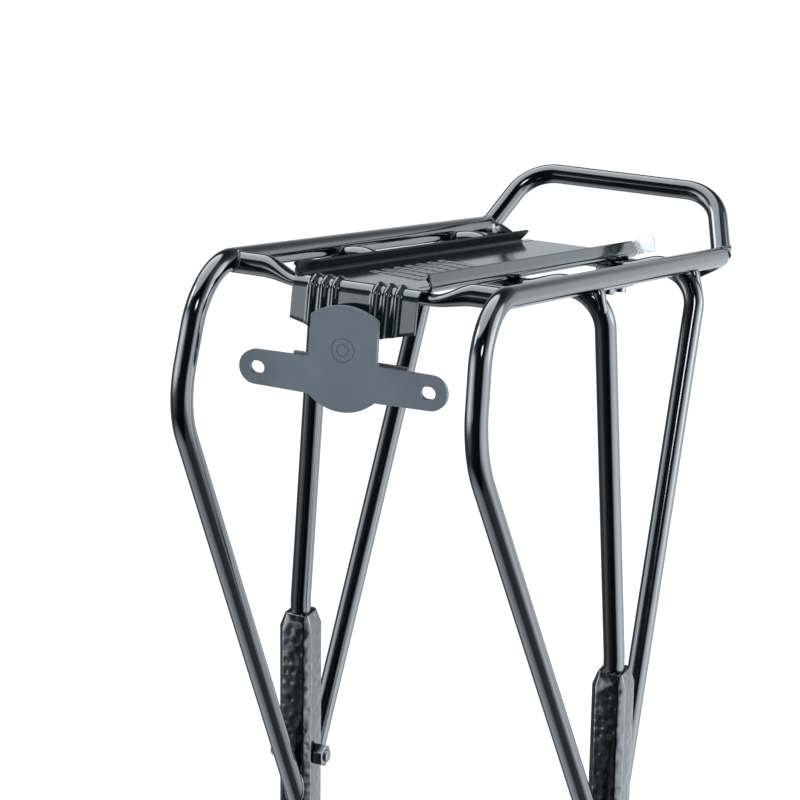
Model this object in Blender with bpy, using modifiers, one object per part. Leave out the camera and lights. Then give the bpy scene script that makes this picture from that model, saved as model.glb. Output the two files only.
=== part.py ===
"""Rear carrier for a bicycle: a welded frame of 10 mm tube with a pressed deck plate.

Axes: +X is the bicycle's right, +Y its front, +Z up. The origin is midway between the two
foot eyelets, with both feet drawn in. Sizes are in millimetres and are turned to metres
where a shape is made.
"""

import math

import bmesh
import bpy
from mathutils import Matrix, Vector

MM = 0.001

# Fits
GAP = 0.3               # between pieces that touch or are welded
BOLT_CLEARANCE = 0.3    # round a bolt in its hole, on the radius

# Frame tubes
TUBE_RADIUS = 5.0
TUBE_BEVEL_RESOLUTION = 6
RAIL_X = 65.0           # half the distance between the deck rails
RAIL_Z = 335.0
RAIL_REAR_Y = -205.0
RAIL_FRONT_Y = 131.0
RAIL_STUB_X = 49.5      # where the turned-in front end of a rail stops
RAIL_STUB_DROP = 9.0    # and how far below the rail
RAIL_FRONT_RADIUS = 12.0
REAR_BEND_RADIUS = 30.0
LEG_BEND_RADIUS = 45.0
LEG_BEND_OUT = 4.0      # the rear leg's bend, outward of the rail
LEG_BEND_BACK = 5.0     # and behind the rail's rear corner
LEG_BEND_DROP = 63.0    # and below the rail
HOOP_HALF_WIDTH = 51.0
HOOP_RISE = 29.8
HOOP_LEAN = 21.0        # how far the hoop's top is ahead of its base
HOOP_BASE_BACK = 3.0    # base of the hoop behind the rail's front corner
HOOP_BASE_IN = 1.0
HOOP_CORNER_RADIUS = 22.0

# Cross tubes, pressed flat where the deck plate lies on them
REAR_TUBE_Y = -176.0
REAR_TUBE_DROP = 1.0    # centre below the rail's centre
ARCH_DROP = 3.5
MIDDLE_ARCH_Y = -69.0
FRONT_ARCH_Y = 72.0
ARCH_CORNER_X = 70.4
ARCH_BEND_RADIUS = 20.0
FLAT_HALF_LENGTH = 31.0
FLAT_RUN_OUT = 19.0      # length over which a flat turns round again
FLAT_HEIGHT = 5.4
FLAT_WIDTH = 12.4

# Feet and their housings, measured along the middle leg, up from the eyelet
FOOT_X = 81.5
EYELET_BORE_RADIUS = 2.75
EYELET_RADIUS = 9.0
FOOT_WIDTH = 14.0
FOOT_THICKNESS = 5.0
FOOT_LENGTH = 130.0
FOOT_TRAVEL = 40.0
HOUSING_BOTTOM = 46.0
HOUSING_TOP = 154.0
HOUSING_WIDTH = 17.0    # along X
HOUSING_DEPTH = 18.0    # fore and aft
HOUSING_CHAMFER = 3.0
HOUSING_TAPER = 7.0
SOCKET_DEPTH = 15.0
SLOT_ROOM = 4.0         # above the foot, drawn in
FOOT_BOLT_HEIGHT = 78.0
FOOT_BOLT_RADIUS = 3.0
FOOT_BOLT_HEAD_RADIUS = 5.0
FOOT_BOLT_HEAD = 4.0
FOOT_NUT = 5.0
FOOT_NUT_RADIUS = 5.8
WASHER_RADIUS = 6.0
WASHER = 1.2
LEG_STRAIGHT = 6.0      # of middle leg, above its housing, in line with it

# Gussets between a rail and the bend of a leg
GUSSET_THICKNESS = 6.0
GUSSET_OUT = 10.8
GUSSET_DROP = 15.0

# Deck plate
SHEET = 1.6
PLATE_DROP = 1.0        # top face below the rail's centre
PLATE_HALF_WIDTH = 29.2
PLATE_REAR_Y = -190.0
PLATE_FRONT_Y = 93.0
PLATE_BEND_RADIUS = 4.0
APRON_SIDE_DROP = 19.0
APRON_MIDDLE_DROP = 23.0
APRON_CORNER_X = 22.0
APRON_MIDDLE_X = 12.0
FLANGE_HEIGHT = 5.7
FLANGE_LEAN = 3.0
FLANGE_REAR_Y = {-1: -187.0, 1: -178.0}     # by side, left first
FLANGE_FRONT_Y = {-1: 84.0, 1: 93.0}
FOLD_BULGE = 0.3        # of the fold, past the plate's edge
RIB_RADIUS = 1.4
RIB_FIRST_X = 9.5
RIB_PITCH = 5.2
RIBS_PER_SIDE = 3
RIB_RUN_IN = 9.0

# Clear end piece, ahead of the right flange
STOP_THICKNESS = 2.4
STOP_LENGTH = 36.0
STOP_RISE = 9.2
STOP_UNDER = 0.8        # its lower edge below the plate's top

# Lamp bracket
BRACKET_THICKNESS = 2.5
BRACKET_HOLE_PITCH = 80.0
BRACKET_BAR_DROP = 42.7     # the crossbar's middle below the rail's centre
BRACKET_BAR_HEIGHT = 15.2
BRACKET_BAR_FLARE = 0.4     # of each side of the bar, where it meets the body
BRACKET_END_MARGIN = 8.6    # outward of a hole's centre
BRACKET_BODY_HALF_WIDTH = 15.6
BRACKET_TOP_DROP = 10.5
BRACKET_CROWN = 5.0
BRACKET_BELLY = 6.2
BRACKET_TILT = math.radians(7.0)
BRACKET_Y = -195.2          # rear face at the crossbar's middle
BRACKET_SLOT_WIDTH = 5.8
BRACKET_SLOT_LENGTH = 7.0
BOSS_RADIUS = 4.0
BOSS_X = 8.0
BOSS_DROP = 18.5
BRACKET_BOLT_RADIUS = 2.0
BRACKET_BOLT_HEAD_RADIUS = 3.6
BRACKET_BOLT_HEAD = 2.6
BRACKET_BOLT_BITE = 4.5     # length of bolt in its boss
BACKING_LENGTH = 53.5
BACKING_SHIFT = 2.25        # to the right of the middle
BACKING_HEIGHT = 8.0
BACKING_THICKNESS = 2.0
BACKING_LIFT = 5.0          # middle above the crossbar's middle

# Front stays and their clamps
STAY_X = 27.0
STAY_WIDTH = 12.0
STAY_THICKNESS = 2.5
STAY_REAR = 176.0           # of stay, behind the front arch
STAY_FRONT = 30.0
STAY_TIP_BORE_RADIUS = 2.75
STAY_TRAVEL = 130.0
STAY_BOLT_RADIUS = 2.0
STAY_BOLT_HEAD_RADIUS = 3.5
STAY_BOLT_HEAD = 3.0
STAY_BOLT_PITCH = 17.4
CLAMP_WIDTH = 12.0
CLAMP_END = 4.6             # beyond a bolt's centre
CLAMP_FLOOR = 2.4
CAP_THICKNESS = 2.5

# Derived places
PLATE_TOP_Z = RAIL_Z - PLATE_DROP
SHEET_UNDER_Z = PLATE_TOP_Z - SHEET
FLAT_TOP_Z = SHEET_UNDER_Z - GAP
ARCH_Z = RAIL_Z - ARCH_DROP
TILT = math.atan2(-MIDDLE_ARCH_Y, ARCH_Z)   # of the middle leg and foot, about X
CLEAR_RADIUS = TUBE_RADIUS + GAP

PARTS = "bicycle_rear_carrier"


def clear_scene():
    for obj in list(bpy.data.objects):
        bpy.data.objects.remove(obj)


def new_collection(name, helpers=False):
    collection = bpy.data.collections.new(name)
    bpy.context.scene.collection.children.link(collection)
    collection.hide_render = helpers
    return collection


def new_material(name, colour, roughness, metallic, alpha=1.0):
    material = bpy.data.materials.new(name)
    material.use_nodes = True
    shader = material.node_tree.nodes["Principled BSDF"]
    shader.inputs["Base Color"].default_value = (*colour, 1.0)
    shader.inputs["Roughness"].default_value = roughness
    shader.inputs["Metallic"].default_value = metallic
    shader.inputs["Transmission Weight"].default_value = 1.0 - alpha
    return material


def sided(name, side):
    return f"{name}_{'left' if side < 0 else 'right'}"


class Shop:
    """Holds the collections and puts each finished shape in its place."""

    def __init__(self):
        self.parts = new_collection(PARTS)
        self.cutters = new_collection("cutters", helpers=True)

    def add(self, name, mesh, material=None, parent=None, helper=False):
        obj = bpy.data.objects.new(name, mesh)
        (self.cutters if helper else self.parts).objects.link(obj)
        if helper:
            obj.hide_render = True
            obj.display_type = "WIRE"
        else:
            mesh.materials.clear()
            mesh.materials.append(material)
            mesh.shade_smooth()
            mesh.set_sharp_from_angle(angle=math.radians(35.0))
        if parent:
            obj.parent = parent
        return obj

    def empty(self, name, location, turn=0.0):
        obj = bpy.data.objects.new(name, None)
        obj.location = Vector(location) * MM
        obj.rotation_euler = (turn, 0.0, 0.0)
        self.parts.objects.link(obj)
        return obj


def boolean(obj, other, operation="DIFFERENCE"):
    modifier = obj.modifiers.new(f"{operation.lower()} {other.name}", "BOOLEAN")
    modifier.object = other
    modifier.operation = operation


def mesh_of(bm, name):
    mesh = bpy.data.meshes.new(name)
    bmesh.ops.recalc_face_normals(bm, faces=bm.faces)
    bm.to_mesh(mesh)
    bm.free()
    return mesh


def box_mesh(name, low, high):
    """A box between two corners in millimetres."""
    bm = bmesh.new()
    bmesh.ops.create_cube(bm, size=1.0)
    low, high = Vector(low) * MM, Vector(high) * MM
    bmesh.ops.scale(bm, vec=high - low, verts=bm.verts)
    bmesh.ops.translate(bm, vec=(low + high) / 2, verts=bm.verts)
    return mesh_of(bm, name)


def cylinder(bm, radius, start, end, segments=20):
    """Adds a capped cylinder between two points in millimetres."""
    start, end = Vector(start) * MM, Vector(end) * MM
    turn = (end - start).to_track_quat("Z", "Y").to_matrix().to_4x4()
    bmesh.ops.create_cone(
        bm,
        cap_ends=True,
        segments=segments,
        radius1=radius * MM,
        radius2=radius * MM,
        depth=(end - start).length,
        matrix=Matrix.Translation((start + end) / 2) @ turn,
    )


def cylinder_mesh(name, radius, start, end, segments=20):
    bm = bmesh.new()
    cylinder(bm, radius, start, end, segments)
    return mesh_of(bm, name)


def mesh_from_curve(curve, name):
    """The closed mesh of a curve, with its caps welded on."""
    guide = bpy.data.objects.new(name, curve)
    bpy.context.scene.collection.objects.link(guide)
    bpy.context.view_layer.update()
    evaluated = guide.evaluated_get(bpy.context.evaluated_depsgraph_get())
    mesh = bpy.data.meshes.new_from_object(evaluated)
    bpy.data.objects.remove(guide)
    bpy.data.curves.remove(curve)
    bm = bmesh.new()
    bm.from_mesh(mesh)
    bmesh.ops.remove_doubles(bm, verts=bm.verts, dist=1e-6)
    bmesh.ops.recalc_face_normals(bm, faces=bm.faces)
    bm.to_mesh(mesh)
    bm.free()
    mesh.name = name
    return mesh


def tube_mesh(name, path, radius, last_share=1.0):
    """A round tube along a path. Its last point may be a share as thick as the rest."""
    curve = bpy.data.curves.new(name, "CURVE")
    curve.dimensions = "3D"
    curve.bevel_depth = radius * MM
    curve.bevel_resolution = TUBE_BEVEL_RESOLUTION
    curve.use_fill_caps = True
    spline = curve.splines.new("POLY")
    spline.points.add(len(path) - 1)
    for point, place in zip(spline.points, path):
        point.co = (*(Vector(place) * MM), 1.0)
    spline.points[-1].radius = last_share
    return mesh_from_curve(curve, name)


def outline_mesh(name, outlines, thickness):
    """Flat outlines in their own X and Y, as thick along Z, holes given after the rim."""
    curve = bpy.data.curves.new(name, "CURVE")
    curve.dimensions = "2D"
    curve.fill_mode = "BOTH"
    curve.extrude = thickness / 2 * MM
    for outline in outlines:
        spline = curve.splines.new("POLY")
        spline.points.add(len(outline) - 1)
        spline.use_cyclic_u = True
        for point, (x, y) in zip(spline.points, outline):
            point.co = (x * MM, y * MM, 0.0, 1.0)
    return mesh_from_curve(curve, name)


def arc(centre, radius, start, end, steps):
    """Points of a flat arc, angles in degrees."""
    angles = (math.radians(start + (end - start) * i / steps) for i in range(steps + 1))
    return [(centre[0] + radius * math.cos(a), centre[1] + radius * math.sin(a)) for a in angles]


def crowned(half_width, rise, base, direction, steps=10):
    """Points of a shallow arc from +half_width to -half_width that stands proud by rise."""
    radius = (half_width**2 + rise**2) / (2 * rise)
    half_angle = math.asin(half_width / radius)
    points = []
    for i in range(steps + 1):
        angle = half_angle * (1 - 2 * i / steps)
        height = radius * math.cos(angle) - (radius - rise)
        points.append((radius * math.sin(angle), base + direction * height))
    return points


def bent_path(corners, radii, steps=8):
    """A path through corners, each inner one rounded to its radius."""
    corners = [Vector(corner) for corner in corners]
    path = [corners[0]]
    for before, corner, after, radius in zip(corners, corners[1:], corners[2:], radii):
        back = (before - corner).normalized()
        ahead = (after - corner).normalized()
        half = back.angle(ahead) / 2
        centre = corner + (back + ahead).normalized() * (radius / math.sin(half))
        first = corner + back * (radius / math.tan(half)) - centre
        last = corner + ahead * (radius / math.tan(half)) - centre
        turn = [first.slerp(last, i / steps).normalized() for i in range(steps + 1)]
        path += [centre + spoke * radius for spoke in turn]
    return path + [corners[-1]]


def with_flat_stops(path, y, z, stops):
    """Adds points along the straight middle of a cross tube, where its flat begins and ends."""
    run = [Vector((x, y, z)) for x in stops]
    split = next(i for i, point in enumerate(path) if point.x > 0)
    return path[:split] + run + path[split:]


def flat_stops():
    """Places across the carrier where a flattened tube changes shape."""
    edges = [FLAT_HALF_LENGTH + FLAT_RUN_OUT * i / 5 for i in range(6)]
    return [-x for x in reversed(edges)] + [0.0] + edges


def press_flat(mesh, centre_y, centre_z, radius):
    """Presses the middle of a cross tube flat, so that its top clears the deck plate."""
    flat_z = FLAT_TOP_Z - FLAT_HEIGHT / 2
    wide = (FLAT_WIDTH / 2 + radius - TUBE_RADIUS) / radius
    high = (FLAT_HEIGHT / 2 + radius - TUBE_RADIUS) / radius
    for vertex in mesh.vertices:
        x, y, z = vertex.co / MM
        if z < centre_z - 2 * radius:
            continue
        share = min(max((abs(x) - FLAT_HALF_LENGTH) / FLAT_RUN_OUT, 0.0), 1.0)
        pressed = 1.0 - share * share * (3.0 - 2.0 * share)
        y = centre_y + (y - centre_y) * (1.0 + (wide - 1.0) * pressed)
        offset = (z - centre_z) * (1.0 + (high - 1.0) * pressed)
        z = offset + centre_z + (flat_z - centre_z) * pressed
        vertex.co = Vector((x, y, z)) * MM


def along_foot(side, height):
    """A point on a foot's line, this far up from the eyelet."""
    direction = Vector((0.0, -math.sin(TILT), math.cos(TILT)))
    return Vector((side * FOOT_X, 0.0, 0.0)) + direction * height


def side_tube_path(side):
    corners = [
        (side * RAIL_STUB_X, RAIL_FRONT_Y, RAIL_Z - RAIL_STUB_DROP),
        (side * RAIL_X, RAIL_FRONT_Y, RAIL_Z),
        (side * RAIL_X, RAIL_REAR_Y, RAIL_Z),
        (side * (RAIL_X + LEG_BEND_OUT), RAIL_REAR_Y - LEG_BEND_BACK, RAIL_Z - LEG_BEND_DROP),
        along_foot(side, HOUSING_BOTTOM),
    ]
    return bent_path(corners, [RAIL_FRONT_RADIUS, REAR_BEND_RADIUS, LEG_BEND_RADIUS])


def hoop_path():
    base_x = RAIL_X - HOOP_BASE_IN
    base_y = RAIL_FRONT_Y - HOOP_BASE_BACK
    top_y, top_z = base_y + HOOP_LEAN, RAIL_Z + HOOP_RISE
    corners = [
        (-base_x, base_y, RAIL_Z),
        (-HOOP_HALF_WIDTH, top_y, top_z),
        (HOOP_HALF_WIDTH, top_y, top_z),
        (base_x, base_y, RAIL_Z),
    ]
    return bent_path(corners, [HOOP_CORNER_RADIUS] * 2)


def arch_path(y, ends):
    """An arch from one leg's end over the deck to the other's."""
    left, right = ends
    corners = [*left, (-ARCH_CORNER_X, y, ARCH_Z), (ARCH_CORNER_X, y, ARCH_Z), *reversed(right)]
    radii = [LEG_BEND_RADIUS] * (len(left) - 1) + [ARCH_BEND_RADIUS] * 2
    radii += [LEG_BEND_RADIUS] * (len(right) - 1)
    return with_flat_stops(bent_path(corners, radii), y, ARCH_Z, flat_stops())


def make_frame(shop, paint):
    """Side tubes, hoop, cross tubes and gussets, each coped to what it is welded to."""
    middle_ends = []
    front_ends = []
    for side in (-1, 1):
        leg_end = along_foot(side, HOUSING_TOP - SOCKET_DEPTH + GAP)
        middle_ends.append([leg_end, along_foot(side, HOUSING_TOP + LEG_STRAIGHT)])
        front_ends.append([along_foot(side, HOUSING_BOTTOM)])
    arches = {
        "middle": (MIDDLE_ARCH_Y, arch_path(MIDDLE_ARCH_Y, middle_ends)),
        "front": (FRONT_ARCH_Y, arch_path(FRONT_ARCH_Y, front_ends)),
    }
    rail_cutters = []
    housing_cutters = []
    for side in (-1, 1):
        path = side_tube_path(side)
        tube = shop.add(sided("side_tube", side), tube_mesh("side_tube", path, TUBE_RADIUS), paint)
        clearance = tube_mesh("rail_clearance", path, CLEAR_RADIUS)
        rail_cutters.append(shop.add(sided("rail_clearance", side), clearance, helper=True))
        half_width, half_depth = HOUSING_WIDTH / 2 + GAP, HOUSING_DEPTH / 2 + GAP
        room = box_mesh(
            "housing_clearance",
            (-half_width, -half_depth, HOUSING_BOTTOM - 4 * TUBE_RADIUS),
            (half_width, half_depth, HOUSING_TOP),
        )
        cutter = shop.add(sided("housing_clearance", side), room, helper=True)
        cutter.location = Vector((side * FOOT_X, 0.0, 0.0)) * MM
        cutter.rotation_euler = (TILT, 0.0, 0.0)
        housing_cutters.append(cutter)
        boolean(tube, cutter)
    arch_cutters = {}
    for name, (y, path) in arches.items():
        mesh = tube_mesh(f"{name}_arch", path, TUBE_RADIUS)
        press_flat(mesh, y, ARCH_Z, TUBE_RADIUS)
        arch = shop.add(f"{name}_arch", mesh, paint)
        for cutter in rail_cutters:
            boolean(arch, cutter)
        if name == "front":
            for cutter in housing_cutters:
                boolean(arch, cutter)
        clearance = tube_mesh(f"{name}_arch_clearance", path, CLEAR_RADIUS)
        press_flat(clearance, y, ARCH_Z, CLEAR_RADIUS)
        arch_cutters[name] = shop.add(f"{name}_arch_clearance", clearance, helper=True)
    rear_z = RAIL_Z - REAR_TUBE_DROP
    ends = [Vector((-RAIL_X, REAR_TUBE_Y, rear_z)), Vector((RAIL_X, REAR_TUBE_Y, rear_z))]
    path = with_flat_stops(ends, REAR_TUBE_Y, rear_z, flat_stops())
    mesh = tube_mesh("rear_cross_tube", path, TUBE_RADIUS)
    press_flat(mesh, REAR_TUBE_Y, rear_z, TUBE_RADIUS)
    rear = shop.add("rear_cross_tube", mesh, paint)
    hoop = shop.add("front_hoop", tube_mesh("front_hoop", hoop_path(), TUBE_RADIUS), paint)
    for cutter in rail_cutters:
        boolean(rear, cutter)
        boolean(hoop, cutter)
    for name, (y, _) in arches.items():
        for side, rail_cutter in zip((-1, 1), rail_cutters):
            gusset = shop.add(sided(f"{name}_gusset", side), gusset_mesh(side), paint)
            gusset.location = Vector((side * RAIL_X, y, RAIL_Z)) * MM
            gusset.rotation_euler = (math.pi / 2, 0.0, 0.0)
            boolean(gusset, rail_cutter)
            boolean(gusset, arch_cutters[name])


def gusset_mesh(side):
    """A small web that hangs from the rail's underside to the outside of the leg's bend."""
    outline = [
        (0.0, 0.0),
        (TUBE_RADIUS, 0.0),
        (TUBE_RADIUS + 2.0, -4.0),
        (TUBE_RADIUS + 4.0, -10.0),
        (GUSSET_OUT, -GUSSET_DROP),
        (TUBE_RADIUS, -GUSSET_DROP),
        (0.0, -2.0 * TUBE_RADIUS),
    ]
    return outline_mesh("gusset", [[(side * x, y) for x, y in outline]], GUSSET_THICKNESS)


def housing_mesh():
    """A square housing with chamfered edges and a tapered top."""
    bm = bmesh.new()
    bmesh.ops.create_cube(bm, size=1.0)
    height = HOUSING_TOP - HOUSING_TAPER - HOUSING_BOTTOM
    bmesh.ops.scale(bm, vec=Vector((HOUSING_WIDTH, HOUSING_DEPTH, height)) * MM, verts=bm.verts)
    lift = Vector((0.0, 0.0, HOUSING_BOTTOM + height / 2)) * MM
    bmesh.ops.translate(bm, vec=lift, verts=bm.verts)
    upright = [e for e in bm.edges if abs(e.verts[0].co.z - e.verts[1].co.z) > height / 2 * MM]
    bmesh.ops.bevel(bm, geom=upright, offset=HOUSING_CHAMFER * MM, segments=1, affect="EDGES")
    top = max(bm.faces, key=lambda face: face.calc_center_median().z)
    bmesh.ops.inset_region(bm, faces=[top], thickness=2.4 * MM, use_even_offset=True)
    bmesh.ops.translate(bm, vec=Vector((0.0, 0.0, HOUSING_TAPER)) * MM, verts=top.verts)
    return mesh_of(bm, "foot_housing")


def foot_mesh():
    """The foot's bar with its eyelet and the slot for the clamp bolt, in its X and Y."""
    half = FOOT_WIDTH / 2
    neck = math.degrees(math.acos(half / EYELET_RADIUS))
    rim = arc((0.0, 0.0), EYELET_RADIUS, neck, neck - (180.0 + 2 * neck), 18)
    rim += [(-half, FOOT_LENGTH), (half, FOOT_LENGTH)]
    bore = arc((0.0, 0.0), EYELET_BORE_RADIUS, 0.0, 337.5, 15)
    radius = FOOT_BOLT_RADIUS + BOLT_CLEARANCE
    low, high = FOOT_BOLT_HEIGHT, FOOT_BOLT_HEIGHT + FOOT_TRAVEL
    slot = arc((0.0, high), radius, 0.0, 180.0, 8) + arc((0.0, low), radius, 180.0, 360.0, 8)
    return outline_mesh("foot", [rim, bore, slot], FOOT_THICKNESS)


def make_foot(shop, side, paint, steel):
    line = shop.empty(sided("foot_line", side), (side * FOOT_X, 0.0, 0.0), TILT)
    housing = shop.add(sided("foot_housing", side), housing_mesh(), paint, line)
    socket = cylinder_mesh(
        "leg_socket", CLEAR_RADIUS, (0, 0, HOUSING_TOP - SOCKET_DEPTH), (0, 0, HOUSING_TOP + 5)
    )
    half_thickness, half_width = FOOT_THICKNESS / 2 + GAP, FOOT_WIDTH / 2 + GAP
    slot = box_mesh(
        "foot_slot",
        (-half_thickness, -half_width, HOUSING_BOTTOM - 5),
        (half_thickness, half_width, FOOT_LENGTH + SLOT_ROOM),
    )
    reach = HOUSING_WIDTH
    bolt_hole = cylinder_mesh(
        "foot_bolt_hole",
        FOOT_BOLT_RADIUS + BOLT_CLEARANCE,
        (-reach, 0, FOOT_BOLT_HEIGHT),
        (reach, 0, FOOT_BOLT_HEIGHT),
    )
    for cut in (socket, slot, bolt_hole):
        boolean(housing, shop.add(sided(cut.name, side), cut, parent=line, helper=True))
    slide = shop.empty(sided("foot_slide", side), (0.0, 0.0, 0.0))
    slide.parent = line
    foot = shop.add(sided("foot", side), foot_mesh(), steel, slide)
    foot.rotation_euler = (math.pi / 2, 0.0, math.pi / 2)
    face = HOUSING_WIDTH / 2 + GAP
    washer = cylinder_mesh(
        "foot_washer",
        WASHER_RADIUS,
        (side * face, 0, FOOT_BOLT_HEIGHT),
        (side * (face + WASHER), 0, FOOT_BOLT_HEIGHT),
    )
    washer = shop.add(sided("foot_washer", side), washer, steel, line)
    hole = cylinder_mesh(
        "washer_hole",
        FOOT_BOLT_RADIUS + BOLT_CLEARANCE,
        (side * (face - 2), 0, FOOT_BOLT_HEIGHT),
        (side * (face + WASHER + 2), 0, FOOT_BOLT_HEIGHT),
    )
    boolean(washer, shop.add(sided("washer_hole", side), hole, parent=line, helper=True))
    seat = face + WASHER + GAP
    bm = bmesh.new()
    inner, outer = -side * (face + FOOT_NUT + 1.5), side * (seat + 1)
    cylinder(bm, FOOT_BOLT_RADIUS, (inner, 0, FOOT_BOLT_HEIGHT), (outer, 0, FOOT_BOLT_HEIGHT))
    shank = mesh_of(bm, "foot_bolt")
    bolt = shop.add(sided("foot_bolt", side), shank, steel, line)
    head = cylinder_mesh(
        "foot_bolt_head",
        FOOT_BOLT_HEAD_RADIUS,
        (side * seat, 0, FOOT_BOLT_HEIGHT),
        (side * (seat + FOOT_BOLT_HEAD), 0, FOOT_BOLT_HEIGHT),
    )
    boolean(bolt, shop.add(sided("foot_bolt_head", side), head, parent=line, helper=True), "UNION")
    nut = cylinder_mesh(
        "foot_nut",
        FOOT_NUT_RADIUS,
        (-side * face, 0, FOOT_BOLT_HEIGHT),
        (-side * (face + FOOT_NUT), 0, FOOT_BOLT_HEIGHT),
        segments=6,
    )
    nut = shop.add(sided("foot_nut", side), nut, steel, line)
    thread = cylinder_mesh(
        "foot_nut_bore",
        FOOT_BOLT_RADIUS + BOLT_CLEARANCE,
        (-side * (face - 2), 0, FOOT_BOLT_HEIGHT),
        (-side * (face + FOOT_NUT + 4), 0, FOOT_BOLT_HEIGHT),
    )
    boolean(nut, shop.add(sided("foot_nut_bore", side), thread, parent=line, helper=True))


def apron_drop(x):
    """How far the apron's lower edge hangs below the plate's top, deeper in the middle."""
    share = (abs(x) - APRON_MIDDLE_X) / (PLATE_HALF_WIDTH - APRON_MIDDLE_X)
    share = min(max(share, 0.0), 1.0)
    return APRON_MIDDLE_DROP + (APRON_SIDE_DROP - APRON_MIDDLE_DROP) * share


def plate_bend(offset, steps=5):
    """Points of the rear bend in Y and Z, offset outward from the top face."""
    centre = (PLATE_REAR_Y + PLATE_BEND_RADIUS, PLATE_TOP_Z - PLATE_BEND_RADIUS)
    return arc(centre, PLATE_BEND_RADIUS + offset, 180.0, 90.0, steps)


def make_plate(shop, paint):
    """The deck plate: a sheet with its rear end bent down and its sides turned up."""
    columns = [-PLATE_HALF_WIDTH, -APRON_CORNER_X, -APRON_MIDDLE_X]
    columns += [-x for x in reversed(columns)]
    rows = plate_bend(0.0)
    rows.append((PLATE_FRONT_Y, PLATE_TOP_Z))
    bm = bmesh.new()
    grid = [[bm.verts.new(Vector((x, PLATE_REAR_Y, PLATE_TOP_Z - apron_drop(x))) * MM) for x in columns]]
    for y, z in rows:
        grid.append([bm.verts.new(Vector((x, y, z)) * MM) for x in columns])
    for low, high in zip(grid, grid[1:]):
        for i in range(len(columns) - 1):
            bm.faces.new((low[i], low[i + 1], high[i + 1], high[i]))
    bmesh.ops.recalc_face_normals(bm, faces=bm.faces)
    mesh = bpy.data.meshes.new("top_plate")
    bm.to_mesh(mesh)
    bm.free()
    plate = shop.add("top_plate", mesh, paint)
    wall = plate.modifiers.new("sheet", "SOLIDIFY")
    wall.thickness = SHEET * MM
    wall.offset = -1.0 if upward(mesh) else 1.0
    wall.use_even_offset = True
    for side in (-1, 1):
        boolean(plate, shop.add(sided("flange", side), flange_mesh(side), helper=True), "UNION")
    ribs = bmesh.new()
    for side in (-1, 1):
        for i in range(RIBS_PER_SIDE):
            x = side * (RIB_FIRST_X + i * RIB_PITCH)
            path = [Vector((x, PLATE_REAR_Y, PLATE_TOP_Z - apron_drop(x) + RIB_RADIUS))]
            path += [Vector((x, y, z)) for y, z in plate_bend(0.0)]
            path.append(path[-1] + Vector((0.0, RIB_RUN_IN, -SHEET / 2)))
            rib = tube_mesh("rib", path, RIB_RADIUS, last_share=0.3)
            ribs.from_mesh(rib)
            bpy.data.meshes.remove(rib)
    boolean(plate, shop.add("ribs", mesh_of(ribs, "ribs"), helper=True), "UNION")
    for side in (-1, 1):
        z = RAIL_Z - BOSS_DROP
        radius = BRACKET_BOLT_RADIUS + BOLT_CLEARANCE
        x = side * BOSS_X
        hole = cylinder_mesh("apron_hole", radius, (x, PLATE_REAR_Y - 5, z), (x, PLATE_REAR_Y + 5, z))
        boolean(plate, shop.add(sided("apron_hole", side), hole, helper=True))


def flange_mesh(side):
    """A side of the plate, turned up and leaning in."""
    foot_z = PLATE_TOP_Z - SHEET / 2
    top_x = PLATE_HALF_WIDTH - FLANGE_LEAN
    outline = [
        (side * (PLATE_HALF_WIDTH + FOLD_BULGE), foot_z),
        (side * top_x, PLATE_TOP_Z + FLANGE_HEIGHT),
        (side * (top_x - SHEET), PLATE_TOP_Z + FLANGE_HEIGHT),
        (side * (PLATE_HALF_WIDTH - 1.5 * SHEET), foot_z),
    ]
    rear, front = FLANGE_REAR_Y[side], FLANGE_FRONT_Y[side]
    mesh = outline_mesh("flange", [outline], front - rear)
    middle = Vector((0.0, (front + rear) / 2, 0.0)) * MM
    mesh.transform(Matrix.Translation(middle) @ Matrix.Rotation(math.pi / 2, 4, "X"))
    return mesh


def upward(mesh):
    """True where the sheet's top faces look up."""
    return max(mesh.polygons, key=lambda face: face.area).normal.z > 0


def make_end_stop(shop, clear):
    """A clear piece that carries on from the front end of the right flange."""
    outline = [
        (0.0, 0.0),
        (STOP_LENGTH - 3.0, 0.0),
        (STOP_LENGTH - 0.8, 2.5),
        (STOP_LENGTH, STOP_RISE - 1.5),
        (STOP_LENGTH - 3.0, STOP_RISE),
        (STOP_LENGTH * 0.35, FLANGE_HEIGHT + STOP_UNDER + 1.0),
        (0.0, FLANGE_HEIGHT + STOP_UNDER),
    ]
    stop = shop.add("flange_end_stop", outline_mesh("flange_end_stop", [outline], STOP_THICKNESS), clear)
    lean = math.atan2(FLANGE_LEAN, FLANGE_HEIGHT)
    standing = Matrix.Rotation(math.pi / 2, 4, "Z") @ Matrix.Rotation(math.pi / 2, 4, "X")
    place = Vector((PLATE_HALF_WIDTH, PLATE_FRONT_Y + GAP, PLATE_TOP_Z - STOP_UNDER)) * MM
    stop.matrix_world = Matrix.Translation(place) @ Matrix.Rotation(-lean, 4, "Y") @ standing


def bracket_outline():
    """The bracket's rim about its crossbar's middle: an oval body and a bar with round ends."""
    half_bar = BRACKET_BAR_HEIGHT / 2
    end_x = BRACKET_HOLE_PITCH / 2 + BRACKET_END_MARGIN - half_bar
    shoulder = BRACKET_BAR_DROP - BRACKET_TOP_DROP - BRACKET_CROWN
    body = BRACKET_BODY_HALF_WIDTH
    root = half_bar + BRACKET_BAR_FLARE
    rim = list(reversed(crowned(body, BRACKET_CROWN, shoulder, 1.0)))
    rim.append((body, root))
    rim += arc((end_x, 0.0), half_bar, 90.0, -90.0, 10)
    rim += crowned(body, BRACKET_BELLY, -root, -1.0)
    rim += arc((-end_x, 0.0), half_bar, 270.0, 90.0, 10)
    rim.append((-body, root))
    return rim


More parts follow.
